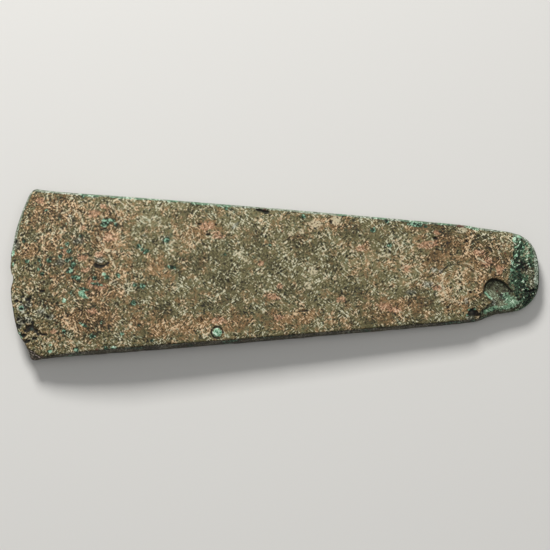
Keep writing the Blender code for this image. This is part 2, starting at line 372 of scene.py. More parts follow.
# %% Where the losses and lumps are, in millimetres on the upper face
PITS = [
    (-73.9, -5.9, 1.02, 0.61), (-78.5, -8.3, 0.96, 0.64), (-80.7, -9.2, 0.58, 0.51),
    (-80.1, -7.3, 0.51, 0.45), (-23.9, 15.6, 0.64, 0.48), (-18.6, 15.5, 0.42, 0.38),
    (-21.2, 12.2, 0.83, 0.45), (18.2, 16.6, 0.58, 0.51), (51.5, 11.2, 0.64, 0.45), (61.7, 10.3, 0.51),
    (62.6, -6.4, 0.45, 0.38), (-70.3, -8.6, 0.45, 0.38), (-69, -9.9, 0.58, 0.42, 30),
    (-75, -19.6, 0.77, 0.51),
]
VOIDS = [
    (-77.8, -17.4, 1.15, 0.77, 20), (-78.9, -18.3, 1.02, 0.5), (-76.3, -20.8, 1.15, 0.55, 15),
    (-79.7, -19.7, 0.96, 0.5), (-78.9, -21.8, 1.28, 0.5, 15), (-81.7, -17, 0.9, 0.54, 30),
    (-73.4, -19.8, 0.77, 0.45), (-75.7, -18.6, 0.58, 0.64), (-77, -15.7, 0.64, 0.5),
    (-81.7, -14.8, 0.7, 0.45, 40), (-80.7, -11.3, 0.5, 0.35), (-78.4, -12.8, 0.6, 0.4),
    (-79.6, -15.6, 0.6, 0.45), (-82.2, -8.7, 0.5, 0.4), (-74, -12.9, 0.45, 0.35), (-71.9, -14.3, 0.45, 0.35),
    (-82.8, 10.9, 0.35, 0.4),
]
CRACKS = [
    (0.66, (-57, 2.2), (-55.8, 1.7), (-54.6, 1.8)), (0.4, (-54.6, 1.8), (-53.6, 2.2), (-52.7, 2.9)),
    (0.22, (-80, -9.8), (-79.2, -10.9), (-78.3, -11.2), (-77.7, -12.2)), (0.29, (7.7, -12.7), (10.6, -12.5)),
    (0.3, (80.3, -5.9), (81.5, -6), (82.8, -5.5)), (0.29, (-55.3, 13.8), (-53.7, 14.1)),
]
ARRIS_NOTCH = [(-4.6, 20.2, 1.3, 0.45, -8), (-2.5, 19.6, 0.9, 0.6, 10), (-3.6, 19.9, 0.8, 0.4)]
MINT_NODULES = [
    (-61, -7.2, 1.6, 1.02, -35), (-66.8, -9.3, 0.74), (-54, -0.8, 0.77, 0.58), (-71.1, -23.2, 0.64, 0.51),
    (-71.1, -25.1, 0.77, 0.51), (-83.9, 6.6, 0.6, 0.96), (-83.6, 3, 0.4, 0.8), (-81.2, -19.4, 0.5, 1.34, 30),
    (-50.7, -24.3, 0.96, 0.4), (-77.3, -17.8, 0.51, 0.38), (61.3, -13.7, 0.5, 0.45), (62.2, -12.1, 0.6, 0.35),
    (63.8, -11.9, 0.5, 0.3), (77.5, 11.5, 0.45, 0.5), (78.5, 12, 0.6, 0.45), (77.5, 8.4, 0.7, 0.35),
    (77.6, 5.6, 0.7, 0.4, 30), (75.8, 1, 0.6), (78.9, 10.2, 0.4, 0.5), (80, 8.4, 0.4), (76.3, 3.1, 0.4),
    (76.9, 10.6, 0.5), (78.3, 9, 0.4, 0.3), (79, 11.7, 0.5, 0.35),
]
# Painted highlight: a bright mint line where the scoop's lower lip catches the light.
SCOOP_LIP_HIGHLIGHT = [(0.42, (67.3, -6.4), (68.1, -7.3), (69.1, -8.3))]
RING_DARK = [
    (0.34, (53.4, 0.3), (54.2, 1.2), (55.8, 2.3), (57.7, 2.7), (59.9, 2.4), (62.3, 1.8), (63.6, 0.2)),
    (0.24, (46.4, -1.9), (48.5, -1.3), (50.2, -1.3), (52.2, -0.6), (53.4, 0.3)),
]
RING_PALE = [
    (0.34, (60.8, 3.1), (62.4, 2.6), (63.9, 1.2), (64.6, -1), (64.3, -3.4)),
    (0.6, (53.9, -0.9), (53.3, -3.2), (54, -6), (55.2, -8.6)), (0.5, (55.2, -8.6), (58, -9.6), (61, -9.9)),
]
BIG_NODULE = (-18.2, -19.5, 1.5)
print("pits:", len(PITS), " voids:", len(VOIDS), " cracks:", len(CRACKS), " nodules:", len(MINT_NODULES))

# %% [markdown]
# Stains change only the colour. Green specks gather towards the blade, a turquoise line follows the
# upper side, thin pale veins are what roots left, and copper shows through in salmon-coloured patches.

# %% Where the stains are
TEAL_SPECKS = [
    (-66.1, 9.1, 0.64), (-65.4, 6.8, 0.83), (-68.3, 5.3, 0.7), (-64.7, 4.5, 0.64), (-66, 3.9, 0.7),
    (-64.1, 2.6, 0.96), (-65, 0.6, 1.02), (-75.1, 4.4, 0.64), (-71.8, 4.1, 0.83), (-76.4, 3.3, 0.58),
    (-74.4, 2.5, 0.58), (-79, 4.1, 0.77), (-75.4, 1.3, 0.58), (-74, -0.4, 0.7), (-64, -1.7, 0.7),
    (-62.4, -2, 0.96), (-57, -2.1, 0.7), (-53.1, -1.8, 0.77), (-49.7, -1.2, 0.7), (-66.6, -18.9, 0.7),
    (-57.7, -20.7, 0.83), (-48.2, -20.1, 0.64), (-44.8, -10.2, 1.02), (-15.8, 5.7, 0.58), (-1.4, 8.8, 0.51),
    (9.2, 18.1, 0.7), (31.6, 13.7, 0.77), (36.6, 8.7, 0.7), (36.1, 16.7, 0.7), (-73.2, 20.7, 0.58),
    (-61.7, 11.6, 0.58), (-50.5, 15.1, 0.7), (-80.2, 10.7, 0.7), (-80.8, -11.1, 0.83), (-62.7, -24.9, 0.83),
    (-53.2, -24.6, 0.64), (-43.1, 8.2, 0.77), (-40.9, 6.6, 0.83), (-42.1, 7.2, 0.64), (-42, -4.7, 0.96),
    (-44.2, -4.4, 0.77), (-15.4, 20.7, 0.51), (-13.9, 20.4, 0.45), (-61.3, 25, 0.58), (-42.9, -17.3, 0.51),
    (-38.7, -22.1, 0.51),
]
TEAL_PATCHES = [
    (-53.4, 16.7, 1.92, 0.7), (-54, 15.4, 1.6, 1.02), (-60.3, -17.1, 1.6, 0.48, -28),
    (-34.5, 10.2, 1.02, 0.77), (-32.6, 1.4, 1.76, 0.58, -10), (-60.4, -5.6, 2.24, 0.42, -12),
    (-56.6, -4, 1.92, 0.42, -8), (48.5, 15, 0.8, 0.5), (45.3, 15.7, 3, 0.8, -11),
]
TURQUOISE_RIM = [
    (0.42, (-61.3, 25.3), (-56.4, 24.8)), (0.38, (-52.2, 24.4), (-46, 24)),
    (0.3, (-44.6, 23.9), (-36.9, 23.4)), (0.55, (-34, 23.2), (-31.4, 23.1)),
    (0.5, (-26.3, 22.4), (-21.2, 22.1)), (0.5, (-18.3, 21.8), (-14.2, 21.5)), (0.5, (20.4, 19), (23, 18.7)),
    (0.55, (32, 18.1), (35.5, 17.8)), (0.3, (40.5, 17.1), (45.1, 16.6), (49, 16.2)),
    (0.5, (52.8, 16.1), (56.7, 15.8)), (0.55, (62.1, 15), (65.4, 14.3)),
]
SCOOP_GREENS = [(75.2, -8.6, 3, 1.7, -28), (73.6, -11.2, 3, 0.9, 8), (68.6, -11.9, 2.6, 0.7, 20)]
CREAM_VEINS = [
    (0.34, (-64.4, 20.3), (-62.8, 19.6), (-61.4, 17.6), (-61.1, 15.9), (-62.3, 14.3)),
    (0.32, (-68, 19.4), (-66.7, 19.7), (-65.4, 20.7)), (0.26, (-69.7, 23.5), (-69.5, 21.8), (-69.6, 20.2)),
    (0.26, (-66, 17.7), (-65.1, 15.2)), (0.26, (-68.8, 14.5), (-67.2, 12.8)),
    (0.24, (-53.2, 23.3), (-51.9, 21.3), (-50.6, 19.3)), (0.26, (-52.9, 5.6), (-51.6, 3.7), (-50.6, 1.2)),
    (0.38, (-56.2, 11.2), (-54.9, 9.2), (-53.9, 6.9), (-51.7, 6.6), (-49.2, 6.3)),
    (0.29, (-50, -3.5), (-48.7, -4.7), (-47.4, -5.7)), (0.29, (-47.4, -2.5), (-45.8, -4.4), (-44.2, -6.8)),
    (0.24, (-50.8, 15.7), (-48.9, 17), (-47, 18.7)), (0.38, (-12.3, 6.2), (-10.7, 5.1), (-9.1, 3.5)),
    (0.29, (-39.1, 18), (-37.4, 16.4), (-36.2, 14.8)), (0.29, (-31.1, 22.5), (-30.5, 21.3), (-29.8, 20.4)),
    (0.26, (-33.6, 8.6), (-31.4, 10.2)), (0.26, (-25.3, 8.6), (-23.7, 10.2)),
    (0.38, (33.4, 5.2), (35, 5.3), (36.9, 5.9)), (0.26, (1.8, 8.4), (3.7, 6.1), (4.9, 3.8)),
    (0.24, (20.3, 3.6), (22.2, 1.6)), (0.26, (24.8, 8.5), (26.7, 5.5)), (0.26, (38.6, 9.8), (40.9, 11.5)),
    (0.26, (65.1, 4.7), (67.7, 3.1)), (0.26, (71.6, 7.4), (73.1, 3.4)), (0.26, (46.4, -2.5), (49.9, -3.5)),
    (0.24, (41.6, -4.2), (46.4, -1.5)),
]
PALE_PATCHES = [
    (13.3, 15.6, 2.24, 1.44), (5.3, 12.5, 1.12, 0.83), (8.8, 13, 0.96), (19.8, 17, 1.92, 1.6),
    (12.3, 0.3, 1.6, 1.28), (10.6, -4.3, 1.28), (19.6, -3.6, 0.45), (8.4, -7.5, 0.45, 0.38),
    (60.2, 13.9, 1.6, 0.96), (-83, 2, 0.8, 1.3),
]
SALMON_PATCHES = [
    (-75.3, 23.8, 1.6, 1), (-57.9, 19.1, 2, 1.2), (-54.5, 21.4, 1.3, 0.9), (-61.2, 14.5, 1.1, 0.9),
    (-52.8, 10.9, 2.4, 1.4), (-66.4, 6.9, 1.3, 1), (-61, 4.5, 2.2, 1.3), (-56.1, 5.2, 1.4, 1),
    (-59.8, 0.6, 1.6, 0.9), (-57.5, -4, 2.2, 1.2), (-54.9, -4.8, 1.2, 0.9), (-57.8, -12.7, 1.8, 1),
    (-70.2, -19.1, 1.4, 0.9), (48.9, 9.1, 2.6, 1.5), (52.1, 12.9, 1.5, 1), (41.7, 1.5, 1.4, 1),
    (51.8, -5.1, 1.6, 1.2), (35.2, -10.9, 2.4, 1), (38, -12.1, 2, 1), (21, -8.9, 1.6, 1),
    (27.7, 7.8, 1.2, 0.9), (-21.5, 14.8, 2.2, 1.4), (-18, 11.9, 1.6, 1.2), (1.7, -4.6, 1.2, 1),
    (-4.3, 2.8, 1), (-0.5, -8.2, 1.9, 1), (-18.3, -15.8, 2.2, 1.2), (1.5, -14.6, 1.8, 1),
    (68.3, 3.4, 2.2, 1.5), (65.2, 6.7, 1.6, 1), (72.1, 0.8, 1.5, 1.2),
]
RED_SPECKS = [
    (-56, -24.8, 0.6, 0.45), (-3, 20.5, 0.45, 0.4), (59.6, 15.3, 1.44, 0.4, -5), (73.4, -12.2, 0.8, 0.45),
    (2.8, 13.3, 0.35), (71.1, -5.7, 0.35, 0.25), (73.9, 6.4, 0.4),
]
SLATE_PATCHES = [
    (-65.2, 18.3, 0.83, 0.64), (51.2, 0.8, 1.44, 0.96), (53.2, 0.4, 0.83, 0.77), (48.9, -3.8, 1.6, 1.12),
    (61, -9.3, 0.7, 1.15), (-83.2, 10.9, 0.83, 1.12), (-12.6, 14.9, 0.51, 1.92, -48), (-62.6, 10, 1.6, 1.2),
    (-57.7, 24.4, 0.96, 0.42), (43.4, -6.4, 1.92, 0.96), (69.9, -9.3, 1, 0.8), (-68.3, 3.3, 1.6),
    (-55.8, 3.7, 1.7, 1.1), (-41.4, 11.6, 0.96, 0.7), (-34.6, 10.4, 1.3, 1), (62.6, -14.4, 1.5, 0.9),
    (-71, -14.3, 1.6, 1.1), (-74.4, -12.5, 1.5, 1), (-78.3, -15, 1.3, 1.1), (-80.7, -11.3, 1.7, 1.5),
    (-82.5, 9.8, 0.9, 1.9), (-81, -15.5, 1.3, 2.2, 20), (-78, -9.9, 1.2, 0.9),
]
OCHRE_PATCHES = [
    (-77.6, -23, 2.56, 1.28, 25), (-79.6, -21.3, 1.12, 0.64), (-74.4, -18.4, 3.2, 2.56),
    (-78.3, -18.9, 2.24, 2.88), (18, 2.9, 0.7, 0.5), (81.2, 0.7, 1.6, 1.2, -30), (82.4, -2.4, 1.1, 1.9),
    (79.4, 0.7, 1, 0.8), (82.3, -4.6, 1.4, 0.8), (74.8, -3, 0.8, 0.6),
]
print("green specks:", len(TEAL_SPECKS), " veins:", len(CREAM_VEINS), " salmon patches:", len(SALMON_PATCHES))

# %% [markdown]
# Broad zones say where the face is more coppery, darker or lighter as a whole. Their borders are drawn
# out by noise later, so none shows as an ellipse. The tones are softer still, with a strength each.

# %% Where the broad zones are
COPPER_ZONES = [
    (-67, 19.7, 9.6, 3.9, -10), (-53, 11.5, 7.7, 7.2), (-52.8, -4.1, 7.7, 5.6), (-77.1, 7.6, 3.8, 3.3),
    (-22.1, 14.2, 6.1, 3.6), (-28.4, -17.2, 17.6, 3.3, 3), (8, -14.9, 12.2, 2.9, 4),
    (35.1, -11.9, 14.1, 3.9, 5), (18.5, 16.3, 6.4, 2.9), (60, 3.4, 13.4, 11.1), (69.6, 3.4, 6.4, 7.2),
    (-60, -14.9, 9, 3.9), (-37.3, 0.1, 3.5, 2.6), (28, 8.2, 1.9, 1.6), (-4.6, 2.8, 1.6, 1.3),
    (-0.2, -8.2, 2.6, 1.6), (-75.2, 19.1, 3.2, 4.6), (57.4, -9, 5.8, 4.6), (-71.7, 10.6, 3.8, 2.6),
    (-11, -15, 4.5, 2.6), (49.9, 15.5, 6.4, 2),
]
DARK_ZONES = [
    (-69.8, 1.4, 5.1, 2.9, 10), (-75.2, -7.8, 5.1, 4.6), (-77.6, -16.7, 3.2, 5.2), (-36.5, 11.5, 3.2, 2.4),
    (-31.9, 3.1, 2.9, 2.6, 20), (-6.2, 11.6, 3.8, 2.6), (1.1, 1.2, 3.8, 2.6), (5.2, -7.2, 4.5, 2.3),
    (19.9, 1.6, 2.6, 2.3), (24.9, 14.4, 2.9, 2.3), (40.8, 8.5, 3.8, 2.6), (43.7, -7.1, 4.8, 3.3),
    (43, -15.5, 2.9, 1.6), (32.1, -16.5, 2.9, 1.3), (50.7, 4.7, 2.9, 2.3), (-35.3, -12.4, 2.6, 1.6, 30),
    (-59.3, -18.8, 1.9, 1.6), (-49.9, 16, 2.2, 2), (-64.5, 11.4, 2.6, 2), (-55.2, -13.4, 2.9, 1.6),
    (-23.7, 3.1, 3.8, 2.9), (-15.7, -4.3, 4.5, 2.6), (24, -5.8, 3.8, 2.3), (55.3, 8.6, 2.6, 1.6),
    (-18.9, -9.2, 6.4, 2.3), (-68.1, -5.8, 3.8, 2.9), (65.2, 9.6, 2.6, 2), (8.2, 10.4, 2.9, 2.3),
    (81.3, -7.6, 3.4, 2.4, 20), (80.6, 2.6, 1.6),
]
LIGHT_ZONES = [
    (-52, 8.2, 3.2, 1.6, 20), (-59.6, 3.1, 2.9, 2), (-21.5, 13.8, 3.2, 2), (-30.1, 20.3, 2.6, 1.6),
    (-41, 19.6, 3.2, 2), (15.6, 17.9, 3.8, 2), (8.2, 13, 2.6, 2), (-4.6, 2.8, 1.3), (-11, 4.4, 2.9, 2),
    (12.2, -1.7, 2.9, 2.6), (1.7, -4.3, 1.3, 1), (-0.5, -8.2, 1.9, 1.3), (56, -3.8, 3.2, 4.2, 10),
    (64.4, -0.5, 2.6, 2), (-37.3, 0.4, 2.2, 2), (-36.2, -17.9, 3.8, 2.3), (-23.6, -18.2, 3.8, 2),
    (7.1, -13.3, 2.9, 1.6), (18.5, -10, 2.9, 1.6), (30.3, -12.6, 2.9, 2), (36.7, -10, 2.6, 1.6),
    (-46.7, 21.6, 3.8, 1.6), (-63.7, 18.6, 2.9, 1.6), (-56.3, 20.4, 2.6, 1.6), (27.3, 3.3, 2.9, 2.3),
    (46.7, 12.2, 2.9, 1.6), (72.3, 8.7, 2.2, 2), (-49.1, 1.1, 2.6, 2), (21, 8.8, 2.6, 2),
    (82.2, 7.2, 1.6, 3.4, -28), (84.2, 1, 0.9, 4),
]
TONES = [
    (-61, -16, 10, 6, -1.05), (-62, 16, 12, 7, -0.6), (-38.5, 12.5, 8, 6, 1.6), (-15.5, 14.5, 8, 5, 1.1),
    (30.5, -12, 12, 4, -0.9), (58.5, -3.5, 6.5, 6, 2.2), (45, 4, 8, 8, 0.35), (33, 2, 12, 6, 0.35),
    (-5, 2, 14, 6, 0.25), (-10, -12.5, 20, 3, -0.2), (68, 6, 7, 6, -1.1), (54, 9.5, 7, 4, -0.4),
]
COPPER_TONES = [
    (60, 3, 14, 10, -0.13), (30, -13, 16, 3, -0.06), (-8, 0, 18, 8, -0.26), (-66, 2, 12, 8, 0.2),
    (-40, -3, 8, 5, -0.1),
]
print("zones:", len(COPPER_ZONES), "copper,", len(DARK_ZONES), "dark,", len(LIGHT_ZONES), "light")

# %% [markdown]
# The scoop near the butt is an old loss with a steep rim, open to one side wall. It could be cut with a
# ball, as in the solid, but its rim isn't round: it is a bent line of a few points. The depth grows
# with the distance inside that line, steeply at first, and then the floor runs out to the side.

# %% Where the scoop, the chip, the lost corner and the crust's edge are
SCOOP_RIM = [
    (66.6, -5.1), (67.2, -3.2), (69.4, -1.6), (71.2, -1.9), (73.3, -2.7), (75, -4.2), (76.2, -5.7),
    (76.8, -7.4), (77.9, -9.1), (79.4, -10.3), (79.6, -16), (65, -16), (65.2, -12.8), (65.8, -11.7),
    (67.6, -10.7), (69.2, -9.1), (68.9, -8.1), (66.8, -6.8),
]
# Painted shadow: a black stroke just inside the scoop's upper rim, where the rim's shadow falls.
SCOOP_SHADE = [
    (0.45, (66.7, -6.6), (66.9, -4.9), (67.6, -3.3), (69.4, -2.1), (71.2, -2.3), (73.2, -3.1), (74.8, -4.6),
     (76, -6.1)),
]
BOWL = (71.6, -5.8, 5.4, 4.6)
SHELF_DEPTH, BOWL_DEPTH, SCOOP_WALL = 0.55, 1.15, 0.85
CHIP, CHIP_DEPTH = (63.4, -14.1, 2.7, 2.2), 1.1
STEP_POINT, STEP_TURN, STEP_DEPTH = (-75.1, -25.85), math.radians(-31), 0.75
CRUST_EDGE = [
    (17, 77.3), (12.3, 76.9), (7, 76.6), (1.8, 75.7), (-1.1, 74.9), (-3, 74.7), (-4.5, 75.1), (-6.1, 76),
    (-9.5, 77.8), (-17, 79),
]
print("scoop's rim:", len(SCOOP_RIM), "points, crust's edge:", len(CRUST_EDGE))


# %% Inside a closed line
def inside(loop, x, y):
    """Distance inside a closed line, 0 outside. A point is inside if a level line from it crosses the loop
    an odd number of times, and its distance is to the nearest side."""
    within, nearest = np.zeros(x.shape, bool), np.full(x.shape, 1e3)
    for start, end in zip(loop, [*loop[1:], loop[0]]):
        (ax, ay), (bx, by) = start, end
        within ^= ((ay > y) != (by > y)) & (x < ax + (y - ay) * (bx - ax) / (by - ay or 1e-9))
        nearest = np.minimum(nearest, to_line(x, y, start, end))
    return np.where(within, nearest, 0)


def scoop_loss():
    """A steep rim, 1 - (1 - distance / SCOOP_WALL)^2, down to a shelf with a round bowl in its upper part."""
    deep_in = inside(SCOOP_RIM, FX + 0.35 * CRUMBLE, FY + 0.35 * np.roll(CRUMBLE, 7, axis=0))
    wall = 1 - (1 - np.clip(deep_in / SCOOP_WALL, 0, 1)) ** 2
    bowl = rise(1.35 - np.hypot((FX - BOWL[0]) / BOWL[2], (FY - BOWL[1]) / BOWL[3]), 0, 1.1)
    uneven = 0.22 * mottle(FACE, 2.2, 12, 3) + 0.10 * mottle(FACE, 0.8, 13, 2)
    return wall * (SHELF_DEPTH + BOWL_DEPTH * bowl + uneven), rise(deep_in, 0.05, 0.45)


SCOOP_LOSS, SCOOP = scoop_loss()
CRUST_LINE = np.interp(FY, [y for y, _ in CRUST_EDGE[::-1]], [x for _, x in CRUST_EDGE[::-1]])
CRUST = rise(FX + 0.8 * mottle(FACE, 2.0, 11, 4) - CRUST_LINE, -0.35, 0.35) * (1 - SCOOP)
BEYOND_STEP = (FX - STEP_POINT[0]) * math.sin(STEP_TURN) - (FY - STEP_POINT[1]) * math.cos(STEP_TURN)
LOST_CORNER = rise(BEYOND_STEP + 0.35 * CRUMBLE, -0.15, 0.2)
print("scoop is up to", round(float(SCOOP_LOSS.max()), 2), "mm deep")

# %% [markdown]
# Relief of the upper face. Broad hollows come first, then lumps, then grain, then flakes whose edges
# catch the light, then pits of all sizes, and last the named marks. Nearly all of it is a loss, as on
# the real one: corrosion eats inwards from the cast surface. Only nodules and two lumps stand up.

# %% Relief of the upper face, in millimetres of loss
WAVES = ((17.0, 0.14), (4.2, 0.08), (1.3, 0.08))
FLAKE_SIZE, FLAKE_DEPTH, COPPER_STEP = 6.0, 0.06, 0.05
PIT_SIZES = ((5.5, 0.16, 0.30), (2.3, 0.10, 0.16))
CRUST_CELLS = ((1.7, 0.26), (0.85, 0.20))
CRUST_DEPTH, RING_DEPTH = 0.12, 0.12

drift_x, drift_y = 2.6 * mottle(FACE, 6.0, 24, 3), 2.6 * mottle(FACE, 6.0, 25, 3)
copper_zone, dark_zone, light_zone = (blot(zones, FX + drift_x, FY + drift_y, ragged_by=0.5, soft=1.3)
                                      for zones in (COPPER_ZONES, DARK_ZONES, LIGHT_ZONES))
COPPER = 0.55 * mottle(FACE, 2.6, 21, 4) + 0.25 * mottle(FACE, 9.0, 22, 2) + 0.50 * copper_zone + 0.20
COPPER = np.clip(COPPER + tone(COPPER_TONES), 0, 1)
SHADE = 0.9 * light_zone - 1.0 * dark_zone + 0.5 * mottle(FACE, 4.5, 26, 3) + tone(TONES)
flakes = rise(mottle(FACE, FLAKE_SIZE, 33, 5), 0.04, 0.10)
loss = sum(height * dapple(FACE, size, 40 + i) for i, (size, height) in enumerate(WAVES))
loss = loss + FLAKE_DEPTH * flakes + COPPER_STEP * rise(COPPER, 0.5, 0.62)
for i, (size, depth, share) in enumerate(PIT_SIZES):
    distance, number = scatter(FX + 0.6 * CRUMBLE, FY + 0.4 * np.roll(CRUMBLE, 5, axis=0), size, 50 + i)
    loss = loss + depth * rise(0.12 + 0.2 * number - distance, 0, 0.2) * (number > 1 - share)
SURFACE_LOSS = loss
print("mean loss of the plain surface:", round(float(loss.mean()), 2), "mm")

# %% [markdown]
# The crust at the butt is grown from rounded grains of two sizes, and the old ring near it is a faint
# groove with a faint ridge inside. A dome is the height of a ball over its base, for lumps and hollows.

# %% The crust, the ring and the dome
crust_relief = np.zeros(X.shape)
for i, (size, depth) in enumerate(CRUST_CELLS):
    distance, number = scatter(FX + 0.35 * CRUMBLE, FY + 0.35 * np.roll(CRUMBLE, 9, axis=1), size, 60 + i)
    crust_relief = crust_relief + depth * rise(0.62 - distance, 0, 0.5) * (0.35 + 0.65 * number)
loss = loss + CRUST * (CRUST_DEPTH + crust_relief + 0.12 * dapple(FACE, 0.9, 63, 2))
RING_MARK, RING_LIGHT = stroke(RING_DARK), stroke(RING_PALE)
loss = loss + RING_DEPTH * (RING_MARK - RING_LIGHT)


def dome(radius):
    """Height over the base of a ball of radius 1: the root of 1 - radius^2, and 0 beyond it."""
    return np.sqrt(np.clip(1 - radius**2, 0, 1))


print("crust covers", round(100 * float(CRUST.mean()), 1), "percent of the face")

# %% The named marks cut in or standing up
PIT_DEPTH, VOID_DEPTH, CRACK_DEPTH, LAYERS_DEPTH = 0.42, 0.55, 0.35, 0.35
MOAT_DEPTH, NOTCH_LOSS, STEP_UNEVEN = 0.42, 0.70, 0.30
BIG_RISE, NODULE_RISE, LUMP_RISE, DARK_LUMP_RISE = 0.30, 0.24, 0.16, 0.35

PIT, VOID, CRACK = blot(PITS, ragged_by=0.5), blot(VOIDS, ragged_by=0.9, soft=0.9), stroke(CRACKS)
corner_zone = blot([(-78.0, -19.5, 4.6, 5.4)], soft=1.0)
layers = np.floor(4 * dapple(FACE, 4.5, 81)) / 4
NODULE = blot(MINT_NODULES, soft=0.9)
big = np.hypot(FX - BIG_NODULE[0], FY - BIG_NODULE[1])
BIG = rise(BIG_NODULE[2] + 0.15 - big * (1 + 0.08 * CRUMBLE), 0, 0.3)
MOAT = rise(0.60 - np.abs(big - BIG_NODULE[2] - 0.30 + 0.25 * CRUMBLE), 0, 0.45)
MOAT = MOAT * (1 - 0.9 * blot([(-16.9, -20.6, 0.9)], soft=1.0))
chip_radius = np.hypot((FX - CHIP[0]) / CHIP[2], (FY - CHIP[1]) / CHIP[3])
chip_radius = chip_radius * (1 + 0.5 * CRUMBLE + 0.35 * mottle(FACE, 1.8, 14, 2))
CHIPPED = rise(1.15 - chip_radius, 0, 0.35) * rise(FY + 0.5 * CRUMBLE, -14.6, -13.3)
ARRIS_LOSS = blot(ARRIS_NOTCH, soft=0.5)
lump, dark_lump = (blot([place], soft=0.9) for place in ((-55.8, 3.6, 1.7, 1.2), (70.0, -9.3, 1.0, 0.7)))

loss = np.maximum(loss, SCOOP_LOSS + 0.35 * loss * SCOOP) - DARK_LUMP_RISE * dark_lump
loss = loss + PIT_DEPTH * PIT + VOID_DEPTH * VOID + CRACK_DEPTH * CRACK + LAYERS_DEPTH * corner_zone * layers
loss = loss + MOAT_DEPTH * MOAT - BIG_RISE * BIG * dome(big / 1.6) - NODULE_RISE * NODULE - LUMP_RISE * lump
loss = np.maximum(loss, CHIP_DEPTH * dome(chip_radius) * (0.8 + 0.5 * mottle(FACE, 1.4, 15, 2)))
loss = loss + NOTCH_LOSS * ARRIS_LOSS
loss = np.maximum(loss, LOST_CORNER * (STEP_DEPTH + STEP_UNEVEN * dapple(FACE, 1.6, 84)))
print("named marks cut in, up to", round(float(loss.max()), 2), "mm deep")

# %% [markdown]
# The arris is rubbed round, more at the blade's upper corner and at the butt. No loss may reach the
# middle of the thickness, or the thin edge would open. Hollow is how far a point lies under its
# neighbours: the material keeps dirt there.

# %% The arris rubbed round, and the hollows
RUB_DEPTH, LEAST_SKIN = 0.24, 0.08
rub = 0.50 + 0.30 * mottle(FACE, 5.0, 90, 2)
rub = rub + 0.5 * rise(-FX, 74, 82) * rise(FY, 12, 24) + 0.5 * rise(FX, 74, 84)
loss = loss + RUB_DEPTH * np.clip(1 - RIM / rub, 0, 1) ** 2
low, high = face_heights(X, Y)
floor_of_loss = np.maximum((high - low) * MM * 0.5 - LEAST_SKIN, 0.02)
loss = np.minimum(loss, floor_of_loss)
UPPER_Z = high - loss / MM


def blurred(values, cells):
    """Mean over a square of cells either side, from two running sums."""
    for axis in (0, 1):
        padded = np.concatenate([np.repeat(np.take(values, [0], axis=axis), cells + 1, axis=axis), values,
                                 np.repeat(np.take(values, [-1], axis=axis), cells, axis=axis)], axis=axis)
        total = np.cumsum(padded, axis=axis)
        count = values.shape[axis]
        ahead = np.take(total, np.arange(2 * cells + 1, 2 * cells + 1 + count), axis=axis)
        values = (ahead - np.take(total, np.arange(count), axis=axis)) / (2 * cells + 1)
    return values


grain_loss = SURFACE_LOSS + CRUST * crust_relief
HOLLOW = np.clip((grain_loss - blurred(grain_loss, 3)) / (0.09 + 0.16 * CRUST), -1, 1)
print("mean loss on the upper face:", round(float(loss.mean()), 2), "mm")

# %% [markdown]
# The underside lies on the floor and was never seen here, so it is a plainer version of the top: the
# same hollows and grain, fewer pits, no named marks, and the crust at the butt carried round. All its
# relief goes upwards into the metal, so the lowest points still rest on the floor. It needs half as
# many cells each way.

# %% Relief of the underside, on every second grid point
HALF = np.s_[::2, ::2]
UNDER = np.stack([X[HALF] * MM, Y[HALF] * MM, np.full(X[HALF].shape, -40.0)], axis=-1)
UX, UY = UNDER[..., 0], UNDER[..., 1]
under_loss = 0.13 * dapple(UNDER, 15.0, 101) + 0.10 * dapple(UNDER, 3.0, 102)
under_flakes = rise(mottle(UNDER, 7.5, 103, 4), 0.05, 0.12)
distance, number = scatter(UX, UY, 3.1, 104)
under_pits = rise(0.3 + 0.2 * number - distance, 0, 0.28) * (number > 0.6)
under_loss = under_loss + 0.06 * under_flakes + 0.2 * under_pits
UNDER_CRUST = rise(UX + 3.2 * mottle(UNDER, 7.0, 105, 4) + 0.06 * UY, 74.3, 75.3)
distance, number = scatter(UX, UY, 1.9, 106)
under_loss = under_loss + UNDER_CRUST * 0.3 * rise(0.6 - distance, 0, 0.5) * (0.3 + 0.7 * number)
under_rub = np.clip(1 - RIM[HALF] / (0.5 + 0.3 * mottle(UNDER, 5.0, 107, 2)), 0, 1)
under_loss = under_loss + RUB_DEPTH * under_rub**2
LOWER_Z = low[HALF] + np.minimum(under_loss - under_loss.min(), floor_of_loss[HALF]) / MM
UNDER_COPPER = rise(mottle(UNDER, 5.0, 108, 4) * 1.1 + 0.25 * mottle(UNDER, 22.0, 109, 1), 0.05, 0.35)
UNDER_HOLLOW = np.clip((under_loss - blurred(under_loss, 2)) / 0.08, -1, 1)
print("lowest point of the underside:", round(float(LOWER_Z.min() * MM), 3), "mm")

# %% [markdown]
# The side walls join the two faces. Going once round the plan gives a closed row of points. Each wall
# point sits between the two arrises at its own level, pushed outwards by a half ellipse and inwards by
# corrosion. The lowest band is knitted to the coarser underside with three triangles per cell.

# %% Rings of the wall
BUTT_BEGINS, BUTT_WALL_WEAR, UPPER_WALL_WEAR = 72, 0.15, 0.2


def round_trip(grid):
    """The border of a grid, anticlockwise seen from above, starting at the blade's lower corner."""
    return np.concatenate([grid[:-1, 0], grid[-1, :-1], grid[:0:-1, -1], grid[0, :0:-1]])


ring_plan, ring_top = round_trip(PLAN), round_trip(UPPER_Z)
ahead, behind = np.roll(ring_plan, -3, axis=0), np.roll(ring_plan, 3, axis=0)
tangent = (ahead - behind) / np.linalg.norm(ahead - behind, axis=1)[:, None]
OUTWARDS = np.column_stack([tangent[:, 1], -tangent[:, 0]])
even = np.linspace(0, 1, WALL_BANDS + 1)[1:-1]
LEVELS = (0.65 * even + 0.35 * (0.5 - 0.5 * np.cos(math.pi * even)))[:, None]


